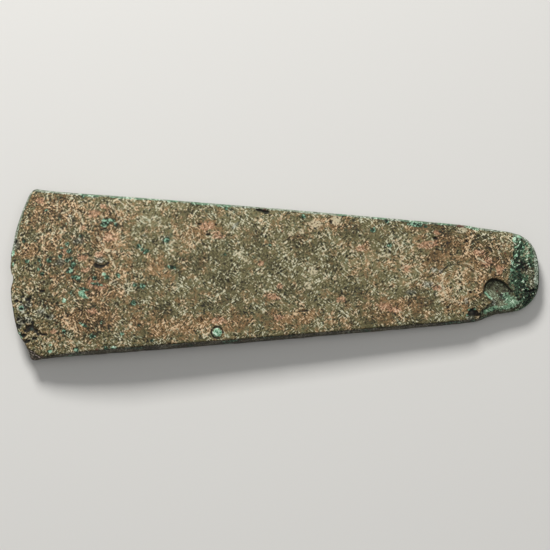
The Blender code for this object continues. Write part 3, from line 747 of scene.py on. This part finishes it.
def wall_rings():
    """Inner rings of the wall: height shared between the arrises, reach times the root of 1 - level^2."""
    coarse = round_trip(LOWER_Z)
    under = np.empty(len(ring_top))
    under[0::2] = coarse
    under[1::2] = (coarse + np.roll(coarse, -1)) / 2
    z = under + (ring_top - under) * LEVELS
    tall = np.maximum(ring_top - under, 1e-4)
    reach = np.minimum(SIDE_BULGE, tall / 2)
    rounding = np.sqrt(1 - (2 * LEVELS - 1) ** 2)
    plan = np.broadcast_to(ring_plan, (len(LEVELS), *ring_plan.shape))
    place = np.concatenate([plan, z[..., None]], axis=2)
    points = place * MM
    bite_in = 0.34 * dapple(points, 5.0, 121) + 0.20 * dapple(points, 1.7, 122)
    flaked = rise(mottle(points * [1, 1, 1.6], 4.0, 123, 4), 0.06, 0.14)
    wear = np.where(ring_plan[:, 1] > 0, UPPER_WALL_WEAR, 1.0)
    wear = np.where(ring_plan[:, 0] * MM > BUTT_BEGINS, BUTT_WALL_WEAR, wear)
    bite_in = (bite_in + 0.14 * flaked) / MM * wear * np.minimum(1, reach / SIDE_BULGE) * rounding
    place[..., :2] += OUTWARDS * (reach * rounding - bite_in)[..., None]
    return place, bite_in * MM


WALL, WALL_LOSS = wall_rings()
print("wall:", *WALL.shape[:2], "rings and points, eaten in by up to", round(float(WALL_LOSS.max()), 2), "mm")

# %% One closed mesh
upper_points = np.concatenate([PLAN, UPPER_Z[..., None]], axis=2)
lower_points = np.concatenate([PLAN[::2, ::2], LOWER_Z[..., None]], axis=2)
POINTS = np.concatenate([upper_points.reshape(-1, 3), lower_points.reshape(-1, 3), WALL.reshape(-1, 3)])
POINTS = np.clip(POINTS, np.array(CAD_LOW), np.array(CAD_HIGH))
UPPER_ID = np.arange(X.size).reshape(X.shape)
LOWER_ID = X.size + np.arange(UX.size).reshape(UX.shape)
RING_ID = X.size + UX.size + np.arange(WALL.shape[0] * WALL.shape[1]).reshape(WALL.shape[:2])


def cells(ids):
    """Four corners of every cell of a grid of point numbers."""
    return np.stack([ids[:-1, :-1], ids[1:, :-1], ids[1:, 1:], ids[:-1, 1:]], axis=-1).reshape(-1, 4)


rings = np.concatenate([RING_ID, round_trip(UPPER_ID)[None]])
rings = np.concatenate([rings, rings[:, :1]], axis=1)
wall_cells = [rings[:-1, :-1], rings[:-1, 1:], rings[1:, 1:], rings[1:, :-1]]
wall_cells = np.stack(wall_cells, axis=-1).reshape(-1, 4)
coarse = round_trip(LOWER_ID)
coarse_next = np.roll(coarse, -1)
fine = RING_ID[0]
first, middle, last = fine[0::2], fine[1::2], np.roll(fine[0::2], -1)
knit = np.concatenate([
    np.column_stack([coarse, coarse_next, middle]),
    np.column_stack([coarse, middle, first]),
    np.column_stack([coarse_next, last, middle]),
])
QUADS = np.concatenate([cells(UPPER_ID), cells(LOWER_ID)[:, ::-1], wall_cells])
print("triangles:", 2 * len(QUADS) + len(knit))

# %% [markdown]
# A flat map of the surface tells a painter, or an exporter, where each point lies on a square picture.
# The faces are flat enough to be laid straight down, and the wall is peeled off in four strips.

# %% The flat map
MAP_WIDTH = 0.176
MARGIN = 0.003
STRIP = 0.0135


def flat_map():
    """Corner by corner: faces by their plan position, wall strips by length along the arris and height."""
    lower_left = np.array([HALF_LENGTH + MARGIN, BLADE_WIDTH / 2 + 2 * MARGIN])
    upper_uv = POINTS[cells(UPPER_ID)][..., :2] + lower_left
    lower_uv = POINTS[cells(LOWER_ID)[:, ::-1]][..., :2] * [1, -1] + lower_left
    lower_uv = lower_uv + [0, BLADE_WIDTH + 3 * MARGIN]
    steps = np.linalg.norm(np.roll(ring_plan, -1, axis=0) - ring_plan, axis=1)
    count = len(ring_plan)
    corners = np.cumsum([0, CELLS_ALONG, CELLS_ACROSS, CELLS_ALONG, CELLS_ACROSS])
    run, row = np.zeros(count), np.zeros(count)
    base = 2 * BLADE_WIDTH + 7.5 * MARGIN
    starts = ((0, 0), (0, 2), (0, 1), (0.5, 2))
    for (shift, strip), a, b in zip(starts, corners[:-1], corners[1:]):
        run[a:b] = MARGIN + shift * MAP_WIDTH + np.concatenate([[0], np.cumsum(steps[a : b - 1])])
        row[a:b] = base + strip * STRIP
    heights = np.concatenate([WALL[..., 2], ring_top[None]])
    left = np.stack([np.broadcast_to(run, heights.shape), row + heights], axis=-1)
    right_height = np.roll(heights, -1, axis=1)
    right = np.stack([np.broadcast_to(run + steps, heights.shape), row + right_height], axis=-1)
    wall_uv = np.stack([left[:-1], right[:-1], right[1:], left[1:]], axis=2).reshape(-1, 4, 2)
    low_z = round_trip(LOWER_Z)
    a_low = np.column_stack([run[0::2], row[0::2] + low_z])
    b_low = np.column_stack([run[1::2] + steps[1::2], row[0::2] + np.roll(low_z, -1)])
    knit_uv = np.concatenate([
        np.stack([a_low, b_low, left[0, 1::2]], axis=1),
        np.stack([a_low, left[0, 1::2], left[0, 0::2]], axis=1),
        np.stack([b_low, right[0, 1::2], left[0, 1::2]], axis=1),
    ])
    quads = np.concatenate([upper_uv.reshape(-1, 4, 2), lower_uv.reshape(-1, 4, 2), wall_uv])
    return np.concatenate([quads.reshape(-1, 2), knit_uv.reshape(-1, 2)]) / MAP_WIDTH


FLAT_MAP = flat_map()
print("flat map spans", FLAT_MAP.min(axis=0).round(3), "to", FLAT_MAP.max(axis=0).round(3))


# %% Put it into Blender
def linked(name, data):
    """A new object in the scene, at the origin."""
    made = bpy.data.objects.new(name, data)
    bpy.context.scene.collection.objects.link(made)
    return made


def make_skin():
    """Points, quads and triangles handed over as whole arrays, and the flat map beside them."""
    mesh = bpy.data.meshes.new("axe_head_skin")
    corners = np.concatenate([QUADS.ravel(), knit.ravel()])
    starts = np.concatenate([np.arange(len(QUADS)) * 4, len(QUADS) * 4 + np.arange(len(knit)) * 3])
    mesh.vertices.add(len(POINTS))
    mesh.vertices.foreach_set("co", POINTS.ravel())
    mesh.loops.add(len(corners))
    mesh.loops.foreach_set("vertex_index", corners.astype(np.int32))
    mesh.polygons.add(len(starts))
    mesh.polygons.foreach_set("loop_start", starts.astype(np.int32))
    mesh.update(calc_edges=True)
    mesh.uv_layers.new(name="OFBake").uv.foreach_set("vector", FLAT_MAP.ravel())
    mesh.shade_smooth()
    print("mesh is sound:", not mesh.validate(verbose=True), "-", len(mesh.vertices), "points")
    return linked("axe_head_skin", mesh)


skin = make_skin()

# %% [markdown]
# Colour. The photograph shows an olive-brown patina, worn through to salmon-coloured copper in
# patches, with green corrosion in specks, a turquoise rim and a dark green crust at the butt. Each
# tint needs its own mask. The masks are computed with the shape, so a pit is black where it is deep,
# and each is stored on the mesh's points as a named attribute for the material to read.

# %% Masks with parts of their own
wall_points = WALL.reshape(-1, 3) * MM
wx, wy = wall_points[:, :2].T
wall_high = np.broadcast_to(LEVELS, WALL.shape[:2]).reshape(-1)
wall_green = rise(mottle(wall_points, 4.0, 141, 4), 0.02, 0.34)
wall_mottle = mottle(wall_points, 1.4, 142, 3)
# Partly rubbed metal and partly painted highlight: a pale line along the upper side's arris, which faces the
# light. The butt's rim is a grey rim of the crust.
UPPER_RIM_RUB_AND_HIGHLIGHT = rise(0.75 - RIM + 0.25 * mottle(FACE, 3.0, 150, 2), 0, 0.35)
UPPER_RIM_RUB_AND_HIGHLIGHT = UPPER_RIM_RUB_AND_HIGHLIGHT * rise(FY, 4, 8) * rise(74 - FX, 0, 3)
BUTT_RIM = rise(1.5 - RIM + 0.4 * CRUMBLE, 0, 0.7) * rise(FX, 75, 79) * rise(FY, -7, -1)
# Painted shade: along the lower side's arris, away from the light, the face is made darker and tarnished like
# the walls.
NEAR_RIM_SHADE = np.clip(1 - RIM / 0.5, 0, 1) * rise(-FY, 2, 5)

teal = np.maximum(blot(TEAL_SPECKS, ragged_by=0.5, soft=1.5), blot(TEAL_PATCHES, ragged_by=0.6, soft=1.2))
teal = 1.1 * np.maximum(teal, 0.55 * rise(mottle(FACE, 2.4, 131, 4), 0.33, 0.48) * rise(-FX, 30, 62))
mint = np.maximum(blot(MINT_NODULES, ragged_by=0.6, soft=1.2), 0.8 * BIG) * (1 - 0.3 * SCOOP)
# The crust's front edge is green corrosion and partly painted highlight: it is brighter towards the upper
# side, where the edge catches the light.
into_crust = FX - CRUST_LINE
crust_front_green_and_highlight = rise(into_crust, -1.2, -0.2) * rise(0.6 - into_crust, 0, 0.8) * (1 - SCOOP)
crust_front_green_and_highlight = crust_front_green_and_highlight * rise(mottle(FACE, 1.6, 145, 2), 0, 0.4) * (0.35 + 0.25 * rise(FY, -2, 3))
# The mint mask holds the green nodules, plus painted highlight on the scoop's lip and on the crust's front
# edge.
mint = mint + 1.8 * stroke(SCOOP_LIP_HIGHLIGHT) + crust_front_green_and_highlight
# Black is partly the dark of pits, voids, cracks and other deep marks, and partly painted shadow in the arris
# notch and under the scoop's upper rim.
black = 1.5 * PIT + 1.1 * VOID + CRACK + CHIPPED + 1.1 * ARRIS_LOSS + MOAT * (1 - BIG) + 0.65 * RING_MARK
black = black + 0.7 * stroke(SCOOP_SHADE) + 0.35 * LOST_CORNER * rise(CRUMBLE, -0.3, 0.3)
cream = np.maximum(stroke(CREAM_VEINS), 0.85 * blot(PALE_PATCHES, soft=1.0)) + 0.6 * RING_LIGHT
turquoise = np.maximum(stroke(TURQUOISE_RIM), blot(SCOOP_GREENS, ragged_by=0.5, soft=1.2))
wall_turquoise = stroke(TURQUOISE_RIM, wx, wy, wander=0) * rise(wall_high + 0.3 * wall_mottle, 0.55, 0.9)
wall_scoop = 0.8 * rise(6.5 - np.abs(wx - BOWL[0]), 0, 2) * (wy < -4) * wall_high
# Painted highlight: the upper half of the upper side's wall, which faces the light, is paler.
wall_lit_highlight = (wy > 4) * rise(wall_high + 0.3 * wall_mottle, 0.6, 0.9)
wall_hollow = wall_mottle * 0.6 + WALL_LOSS.reshape(-1) - 0.3
print("mean share of green specks:", round(float(teal.mean()), 3))


# %% All masks, on every point
def mask(upper, wall=0, under=0):
    """One value for every point, in the mesh's order: upper face, underside, wall."""
    parts = [np.broadcast_to(part, shape).reshape(-1) for part, shape in
             ((upper, X.shape), (under, UX.shape), (wall, wx.shape))]
    return np.clip(np.concatenate(parts), -1, 1)


def wall_spots(size, seed, low, high):
    """Patches on the wall, from a mottle of three octaves."""
    return rise(mottle(wall_points, size, seed, 3), low, high)


MASKS = {
    "copper": mask(COPPER, 0.25 * wall_spots(3.0, 143, 0.1, 0.4), UNDER_COPPER * (1 - UNDER_CRUST)),
    "shade": mask(SHADE - 0.25 * NEAR_RIM_SHADE, 0.5 * mottle(wall_points, 4.0, 151, 2),
                  0.5 * mottle(UNDER, 5.0, 152, 2)),
    "hollow": mask(HOLLOW, wall_hollow, UNDER_HOLLOW),
    "teal": mask(teal, 0.6 * wall_green, 0.5 * rise(mottle(UNDER, 3.0, 144, 4), 0.30, 0.5)),
    "mint": mask(mint, 0.25 * wall_green),
    "cream": mask(cream),
    "black": mask(black, 0.5 * rise(wall_mottle, 0.25, 0.6)),
    "crust": mask(CRUST, rise(wx + 1.5 * wall_mottle, 74.5, 77.5), UNDER_CRUST),
    "scoop": mask(SCOOP, wall_scoop),
    "turquoise": mask(turquoise, wall_turquoise),
    "slate": mask(blot(SLATE_PATCHES, ragged_by=0.6, soft=1.3), 0.6 * wall_spots(3.0, 146, 0.1, 0.4)),
    "salmon": mask(blot(SALMON_PATCHES, ragged_by=0.7, soft=1.2)),
    "busy": mask(np.interp(FX, [-62, -38, 25, 45], [1, 0.5, 0.5, 0]), 0.3, 0.4),
    "rough": mask(rise(-FX, 38, 62) + 0.5 * rise(FX, 40, 60), 0.5, 0.3),
    "pale_rim": mask(np.maximum(UPPER_RIM_RUB_AND_HIGHLIGHT, BUTT_RIM), wall_lit_highlight),
    "ochre": mask(blot(OCHRE_PATCHES, ragged_by=0.8, soft=1.5)),
    "red": mask(blot(RED_SPECKS), 0.5 * wall_spots(2.0, 147, 0.42, 0.55)),
    "wall": mask(0.8 * NEAR_RIM_SHADE**2, 1, 0.3 * under_rub),
    "corner": mask(LOST_CORNER),
}
for name, values in MASKS.items():
    skin.data.attributes.new(name, "FLOAT", "POINT").data.foreach_set("value", values.astype(np.float32))
print("masks:", ", ".join(f"{name} {values.clip(0, 1).mean():.3f}" for name, values in MASKS.items()))

# %% [markdown]
# The finish is one material. Its sums are written as ordinary Python expressions, so a small class
# wraps a socket and turns + - * / into Math nodes. Every other node comes from one method.

# %% Sums of sockets
class Wire:
    """A node's output. Sums and products of wires and numbers add Math nodes to the tree."""

    tree = None

    def __init__(self, socket):
        self.socket = socket

    @classmethod
    def node(cls, kind, settings=None, output=0, **values):
        """Adds a node: settings first, then its inputs by number (i0, i1...) from wires or values."""
        made = cls.tree.nodes.new(kind)
        for name, value in (settings or {}).items():
            if name == "stops":
                for _ in value[2:]:
                    made.color_ramp.elements.new(0.5)
                for stop, (position, colour) in zip(made.color_ramp.elements, value):
                    stop.position, stop.color = position, colour
            else:
                setattr(made, name, value)
        for name, value in values.items():
            socket = made.inputs[int(name[1:])]
            if isinstance(value, Wire):
                cls.tree.links.new(value.socket, socket)
            else:
                socket.default_value = value
        return cls(made.outputs[output])

    def sum_with(self, operation, other, swapped=False):
        """One Math node on this wire and the other, or on the other and this one if swapped."""
        first, second = (other, self) if swapped else (self, other)
        return Wire.node("ShaderNodeMath", {"operation": operation}, i0=first, i1=second)

    def __add__(self, other):
        return self.sum_with("ADD", other)

    def __mul__(self, other):
        return self.sum_with("MULTIPLY", other)

    def __sub__(self, other):
        return self.sum_with("SUBTRACT", other)

    def __rsub__(self, other):
        return self.sum_with("SUBTRACT", other, swapped=True)

    __radd__, __rmul__ = __add__, __mul__


material = bpy.data.materials.new("patinated_bronze_aged")
material.use_nodes = True
Wire.tree = material.node_tree
print("a new material has:", ", ".join(node.name for node in Wire.tree.nodes))


# %% [markdown]
# Small words for the painter: a tint from its screen values, a cloud of noise, a soft step, a layer of
# one tint over another, a ramp of tints, and the reading of a stored mask. Noise reads the object's own
# coordinates in millimetres, so its grain has a real size.

# %% The painter's words
def tint(red, green, blue):
    """Screen colour from 0 to 255 as the linear light that a shader works with."""
    share = np.array([red, green, blue]) / 255
    linear = np.where(share <= 0.04045, share / 12.92, ((share + 0.055) / 1.055) ** 2.4)
    return (*linear.tolist(), 1.0)


def cloud(place, size, detail=2.0, rough=0.5, bend=0.0):
    """Perlin noise from 0 to 1 with lumps of about this size in millimetres."""
    return Wire.node("ShaderNodeTexNoise", {"noise_dimensions": "3D"},
                     i0=place, i2=1 / size, i3=detail, i4=rough, i8=bend)


def soft_step(value, low, high):
    """Smooth step from 0 at low to 1 at high."""
    return Wire.node("ShaderNodeMapRange", {"interpolation_type": "SMOOTHSTEP"}, i0=value, i1=low, i2=high)


def layer(share, under, over):
    """The over tint laid on the under tint by this share."""
    return Wire.node("ShaderNodeMix", {"data_type": "RGBA"}, output=2, i0=share, i6=under, i7=over)


def ramp(value, tints):
    """Tints spread evenly from 0 to 1, looked up by the value."""
    stops = [(i / (len(tints) - 1), tint(*each)) for i, each in enumerate(tints)]
    return Wire.node("ShaderNodeValToRGB", {"stops": stops}, i0=value)


def stored(name):
    """A mask that is stored on the mesh."""
    return Wire.node("ShaderNodeAttribute", {"attribute_name": name}, output=2)


def ridge(value, width):
    """1 where a noise passes through its middle value and 0 a width away: thin bent lines."""
    apart = Wire.node("ShaderNodeMath", {"operation": "ABSOLUTE"}, i0=value - 0.5)
    return 1 - soft_step(apart, 0.0, width)


def shifted(place, by):
    """Place moved, so that clouds of one size don't lie on each other."""
    return Wire.node("ShaderNodeVectorMath", {"operation": "ADD"}, i0=place, i1=(by, by * 0.7, by * 0.4))


def stretched(place, degrees, stretch):
    """Place turned about Z and squeezed along one axis, so a cloud on it becomes long streaks."""
    return Wire.node("ShaderNodeMapping", {"vector_type": "TEXTURE"},
                     i0=place, i2=(0, 0, math.radians(degrees)), i3=(stretch, 1, 1))


print("middle grey as light:", round(tint(128, 128, 128)[0], 3))


# %% [markdown]
# The finish starts with noise of several sizes, since a corroded surface has grain at every size. Dust is
# short strokes that lean one way here and the other way there. Then come fine grain, crumbs, lumps and
# broad drifts, all centred on 0, so that each lightens as much as it darkens. Ridges of noise give thin
# curls and threads, and very long streaks give the pale scratches, which gather in some places only.

# %% Noise of several sizes
SCRATCH_TURNS = ((28, 10), (-38, 40), (-72, 80), (64, 120))

in_metres = Wire.node("ShaderNodeTexCoord", output=3)
place = Wire.node("ShaderNodeVectorMath", {"operation": "SCALE"}, i0=in_metres, i3=MM)
leaning = soft_step(cloud(shifted(place, 210), 2.6, 1.0), 0.44, 0.56)
rising = cloud(stretched(shifted(place, 130), 48, 2.6), 0.34, 0.0)
falling = cloud(stretched(shifted(place, 137), -40, 2.6), 0.34, 0.0)
dust = falling + (rising - falling) * leaning - 0.5
fine = cloud(place, 0.60, 1.0) - 0.5
crumbs = cloud(shifted(place, 50), 1.15, 2.0, 0.6, 0.5) - 0.5
lumps = cloud(shifted(place, 90), 3.2, 3.0, 0.6) - 0.5
broad = cloud(place, 13.0) - 0.5
curls = ridge(cloud(shifted(place, 20), 1.5, 1.0, 0.5, 0.6), 0.05) - 0.2
threads = ridge(cloud(shifted(place, 70), 0.95, 1.0, 0.5, 0.8), 0.06) - 0.2
scratches = 0
for degrees, shift in SCRATCH_TURNS:
    streak = cloud(stretched(shifted(place, shift), degrees, 13.0), 0.50, 0.0)
    scratches = soft_step(streak, 0.65, 0.73) + scratches
scratches = scratches * soft_step(cloud(shifted(place, 300), 8.0, 1.0), 0.38, 0.62)
print("noise:", len(Wire.tree.nodes), "nodes")

# %% [markdown]
# One sum of these is the texture. It is stronger where the patina is rougher, in patches of two
# millimetres and more towards both ends, and a little sharper far from its middle, as flakes are. The
# grain adds the lumps and the broad lights and darks, and looks up the tints: hollows keep dirt and are
# darker, high spots are rubbed and paler. The breakup frays the borders of the stored masks.

# %% Texture, grain and breakup
hollow, shade = stored("hollow"), stored("shade")
patchy = soft_step(cloud(shifted(place, 160), 2.2, 3.0, 0.6), 0.38, 0.64)
roughly = 0.42 + patchy * 1.15 + stored("rough") * 0.34
texture = fine * 1.25 + dust * 2.00 + crumbs * 0.40 + curls * 0.15 + threads * 0.18
texture = texture + scratches * 0.42 - hollow * 0.16
texture = texture * (0.60 + texture * texture * 1.3)
grain = 0.42 + texture * roughly + lumps * 0.55 + broad * 0.35 + shade * 0.14
breakup = fine * 1.1 + crumbs * 1.1 + dust * 0.8
flecks = crumbs * 1.8 + fine + dust * 0.2
print("with texture and grain:", len(Wire.tree.nodes), "nodes")

# %% Tints from dark to light grain
OLIVE = [
    (29, 27, 15), (60, 55, 32), (90, 84, 54), (108, 102, 68), (128, 122, 87), (156, 151, 120),
    (200, 197, 170),
]
COPPER_TINTS = [
    (35, 26, 15), (68, 52, 31), (101, 79, 50), (125, 99, 65), (150, 119, 82), (181, 148, 109),
    (214, 187, 150),
]
SALMON = [(84, 58, 38), (140, 104, 76), (172, 131, 99), (200, 160, 128), (220, 190, 160)]
CRUST_TINTS = [
    (4, 9, 6), (24, 38, 26), (48, 68, 49), (67, 92, 69), (91, 121, 92), (132, 166, 134), (186, 214, 188),
]
CRUST_BROWN = [
    (10, 8, 6), (40, 36, 26), (74, 69, 52), (99, 92, 69), (128, 119, 92), (164, 156, 130), (206, 202, 182),
]
SCOOP_TINTS = [(14, 14, 10), (48, 48, 34), (76, 74, 54), (92, 96, 74), (112, 118, 94), (150, 160, 134)]
# The walls' tint is partly dark tarnish and partly painted shade: all walls are darker than the face, as the
# near wall lies in shadow.
WALL_TARNISH_AND_SHADE = [(12, 11, 8), (34, 31, 24), (60, 56, 44), (92, 86, 72), (142, 136, 120)]
SLATE = [(28, 30, 27), (62, 65, 58), (94, 98, 86), (140, 143, 130), (182, 184, 170)]
# Pale rim tints, for rubbed metal and painted highlight alike.
PALE_RIM_AND_HIGHLIGHT = [(50, 56, 47), (94, 104, 88), (124, 135, 115), (152, 164, 145), (192, 200, 186)]
TEAL = [(4, 12, 8), (15, 38, 27), (38, 74, 54), (74, 116, 90), (146, 186, 158)]
MINT = [(30, 56, 40), (84, 126, 98), (142, 182, 150), (208, 228, 206)]
TURQUOISE = [(18, 32, 24), (52, 78, 59), (88, 122, 94), (130, 162, 134), (192, 210, 188)]
CORNER = [(12, 11, 9), (34, 31, 27), (64, 58, 52), (110, 98, 92), (186, 170, 162)]
OCHRE = [(40, 28, 14), (122, 94, 54), (190, 160, 112)]
GREEN_DUST = [(20, 28, 20), (62, 76, 58), (98, 112, 88), (150, 162, 134)]
print("tints of the patina:", len(OLIVE), " of the crust:", len(CRUST_TINTS), "and", len(CRUST_BROWN))

# %% [markdown]
# The metal comes first: olive-brown patina, and salmon-brown copper where the patina is worn through.
# Over it lie the salmon patches, a thin green dust, small dark specks and the cream veins.


# %% Patina and copper
def stained(colour, stains):
    """Lays stains over a colour: a stored mask times its gain, frayed by noise and stepped, is the share."""
    for name, gain, frayed, low, high, most, over in stains:
        share = soft_step(stored(name) * gain + breakup * frayed, low, high) * most
        colour = layer(share, colour, over)
    return colour


copper_share = stored("copper") + flecks * (0.55 + stored("busy") * 0.6) + lumps * 1.3
copper_share = soft_step(copper_share, 0.13, 0.78)
colour = layer(copper_share, ramp(grain, OLIVE), ramp(grain, COPPER_TINTS))
colour = stained(colour, [("salmon", 1, 0.9, 0.36, 0.80, 0.82, ramp(0.42 + texture * 0.95, SALMON))])
green_dust = soft_step(cloud(shifted(place, 200), 1.0, 1.0) + lumps * 0.5, 0.60, 0.72)
colour = layer(green_dust * 0.55, colour, ramp(grain - 0.04, GREEN_DUST))
specks = soft_step(cloud(shifted(place, 240), 0.85, 0.0), 0.70, 0.80)
colour = layer(specks * 0.75, colour, tint(34, 31, 21))
veins = soft_step(stored("cream") * soft_step(fine, -0.20, 0.08), 0.15, 0.8)
colour = layer(veins * 0.8, colour, tint(202, 190, 158))
print("with the metal:", len(Wire.tree.nodes), "nodes")

# %% [markdown]
# Then the stains, from the lowest to the topmost: earth, the tarnish of the walls with painted shade, the
# crust in a green and a brown tint, the pale rim with a painted highlight, the scoop's floor, the flaked
# corner, slate, green, red and the black of the deep marks, with painted shadow in the arris notch and under
# the scoop's rim.
# Each row is a mask, its gain, how far it is frayed, where its step begins and ends, how much it covers at
# most, and the tint laid on.

# %% Stains over the metal
crust_grain = 0.34 + texture * 0.68 - hollow * 0.12 + lumps + shade * 0.28
browner = soft_step(crumbs * 1.8 + fine * 0.8 + lumps * 1.2 + stored("ochre") * 0.5, 0.02, 0.30)
crust_tint = layer(browner * 0.85, ramp(crust_grain, CRUST_TINTS), ramp(crust_grain, CRUST_BROWN))
scoop_grain = 0.43 + texture * 0.80 + (cloud(place, 3.6) - 0.5) * 1.2
mint_grain = 0.52 + texture * 0.75 + lumps * 0.8 + soft_step(stored("mint"), 0.85, 1.0) * 0.15
colour = stained(colour, [
    ("ochre", 0.8, 0.8, 0.30, 0.90, 0.50, ramp(grain, OCHRE)),
    ("wall", 1, 0.4, 0.35, 0.80, 0.85, ramp(grain, WALL_TARNISH_AND_SHADE)),
    ("crust", 1, 0.6, 0.35, 0.65, 1, crust_tint),
    ("pale_rim", 1, 0.8, 0.30, 0.75, 0.85, ramp(grain + 0.06, PALE_RIM_AND_HIGHLIGHT)),
    ("scoop", 1, 0.3, 0.30, 0.60, 1, ramp(scoop_grain, SCOOP_TINTS)),
    ("corner", 1, 0.4, 0.40, 0.60, 0.85, ramp(grain, CORNER)),
    ("slate", 0.9, 0.8, 0.35, 0.90, 0.65, ramp(grain, SLATE)),
    ("teal", 1, 0.9, 0.30, 0.50, 0.5, tint(30, 32, 23)),
    ("teal", 1, 0.9, 0.55, 0.80, 0.9, ramp(grain + dust * 0.8, TEAL)),
    ("turquoise", 1, 1, 0.45, 0.85, 0.85, ramp(grain * 0.65 + 0.22, TURQUOISE)),
    ("mint", 1, 0.55, 0.40, 0.75, 1, ramp(mint_grain, MINT)),
    ("red", 1, 1, 0.45, 0.80, 0.7, tint(98, 44, 36)),
    ("black", 1, 0.7, 0.45, 0.80, 0.93, tint(12, 12, 10)),
])
print("with the stains:", len(Wire.tree.nodes), "nodes")

# %% [markdown]
# The shader gets the colour, a roughness that follows the fine grain, a low metallic share where copper
# shows, and a fine bump. The bump is only for grain finer than the mesh.

# %% The shader, and the piece in the frame
BUMP_STRENGTH, BUMP_DISTANCE = 0.6, 0.00022

shader = Wire.tree.nodes["Principled BSDF"]
roughness = soft_step(0.66 + fine * 0.6 + stored("crust") * 0.12, 0.0, 1.0)
height = crumbs * 0.5 + fine * 0.7 + dust * 0.2 + scratches * 0.08
bump = Wire.node("ShaderNodeBump", {}, i0=BUMP_STRENGTH, i1=BUMP_DISTANCE, i3=height)
feeds = {"Base Color": colour, "Roughness": roughness, "Metallic": copper_share * 0.08, "Normal": bump}
for name, wire in feeds.items():
    Wire.tree.links.new(wire.socket, shader.inputs[name])
shader.inputs["Specular IOR Level"].default_value = 0.3
print("finish:", len(Wire.tree.nodes), "nodes")

skin.data.materials.append(material)
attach(skin, BODY)
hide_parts(NODE)

# %% [markdown]
# The setting is plain: a pale floor and soft light. One broad light from the far side rakes over the
# face, as in the photograph, so hollows and flakes show and the near wall stays dark. A weak one from
# above fills the shadows.

# %% Floor and light
FLOOR_SIZE, FLOOR_GAP, FLOOR_ROUGHNESS = 8.0, 0.00005, 0.9
FLOOR_TINT = tint(214, 212, 207)
AIR_TINT, AIR_STRENGTH = (0.9, 0.92, 0.95, 1.0), 0.22
LIGHTS = {"far_side_light": ((-0.25, 0.75, 0.62), 0.30, 10.5), "top_light": ((0.15, -0.05, 1.1), 0.80, 3.0)}


def make_floor():
    """A square sheet just under the lowest point."""
    reach = FLOOR_SIZE / 2
    corners = [(x * reach, y * reach, -FLOOR_GAP) for x, y in ((-1, -1), (1, -1), (1, 1), (-1, 1))]
    mesh = bpy.data.meshes.new("studio_floor")
    mesh.from_pydata(corners, [], [(0, 1, 2, 3)])
    paint = bpy.data.materials.new("studio_floor")
    paint.use_nodes = True
    inputs = paint.node_tree.nodes["Principled BSDF"].inputs
    inputs["Base Color"].default_value = FLOOR_TINT
    inputs["Roughness"].default_value = FLOOR_ROUGHNESS
    mesh.materials.append(paint)
    linked("studio_floor", mesh)


def soft_light(name, position, size, watts):
    """A square area light that faces the middle of the axe head."""
    data = bpy.data.lights.new(name, "AREA")
    data.shape = "SQUARE"
    data.size = size
    data.energy = watts
    light = linked(name, data)
    light.location = position
    light.rotation_mode = "QUATERNION"
    light.rotation_quaternion = Vector(position).to_track_quat("Z", "Y")


make_floor()
for name, (position, size, watts) in LIGHTS.items():
    soft_light(name, position, size, watts)
world = bpy.data.worlds.new("studio_air")
world.use_nodes = True
world.node_tree.nodes["Background"].inputs["Color"].default_value = AIR_TINT
world.node_tree.nodes["Background"].inputs["Strength"].default_value = AIR_STRENGTH
bpy.context.scene.world = world
print("lights:", ", ".join(LIGHTS))

# %% [markdown]
# The camera looks down on the axe head from near its lower side, with a long lens, as the photograph
# was taken: 11 degrees off straight down, so a thin band of the near wall shows.

# %% Camera
CAMERA_LIFT = math.radians(79)
CAMERA_DISTANCE = 0.62
CAMERA_TARGET = Vector((0.00015, -0.0003, 0.0055))
CAMERA_ROLL = math.radians(-0.22)
METRES_PER_PIXEL, FRAME_PIXELS, SENSOR = 0.0003202, 550, 36.0

toward = Vector((0, -math.cos(CAMERA_LIFT), math.sin(CAMERA_LIFT)))
right = Vector((1, 0, 0))
axes = Matrix((right, toward.cross(right), toward)).transposed().to_4x4()
camera = linked("camera", bpy.data.cameras.new("camera"))
camera.data.sensor_width = SENSOR
camera.data.lens = CAMERA_DISTANCE / METRES_PER_PIXEL * SENSOR / FRAME_PIXELS
stand = Matrix.Translation(CAMERA_TARGET + CAMERA_DISTANCE * toward) @ axes
camera.matrix_world = stand @ Matrix.Rotation(CAMERA_ROLL, 4, "Z")
bpy.context.scene.camera = camera
bpy.context.scene.view_settings.view_transform = "Standard"
print("lens:", round(camera.data.lens, 1), "mm")
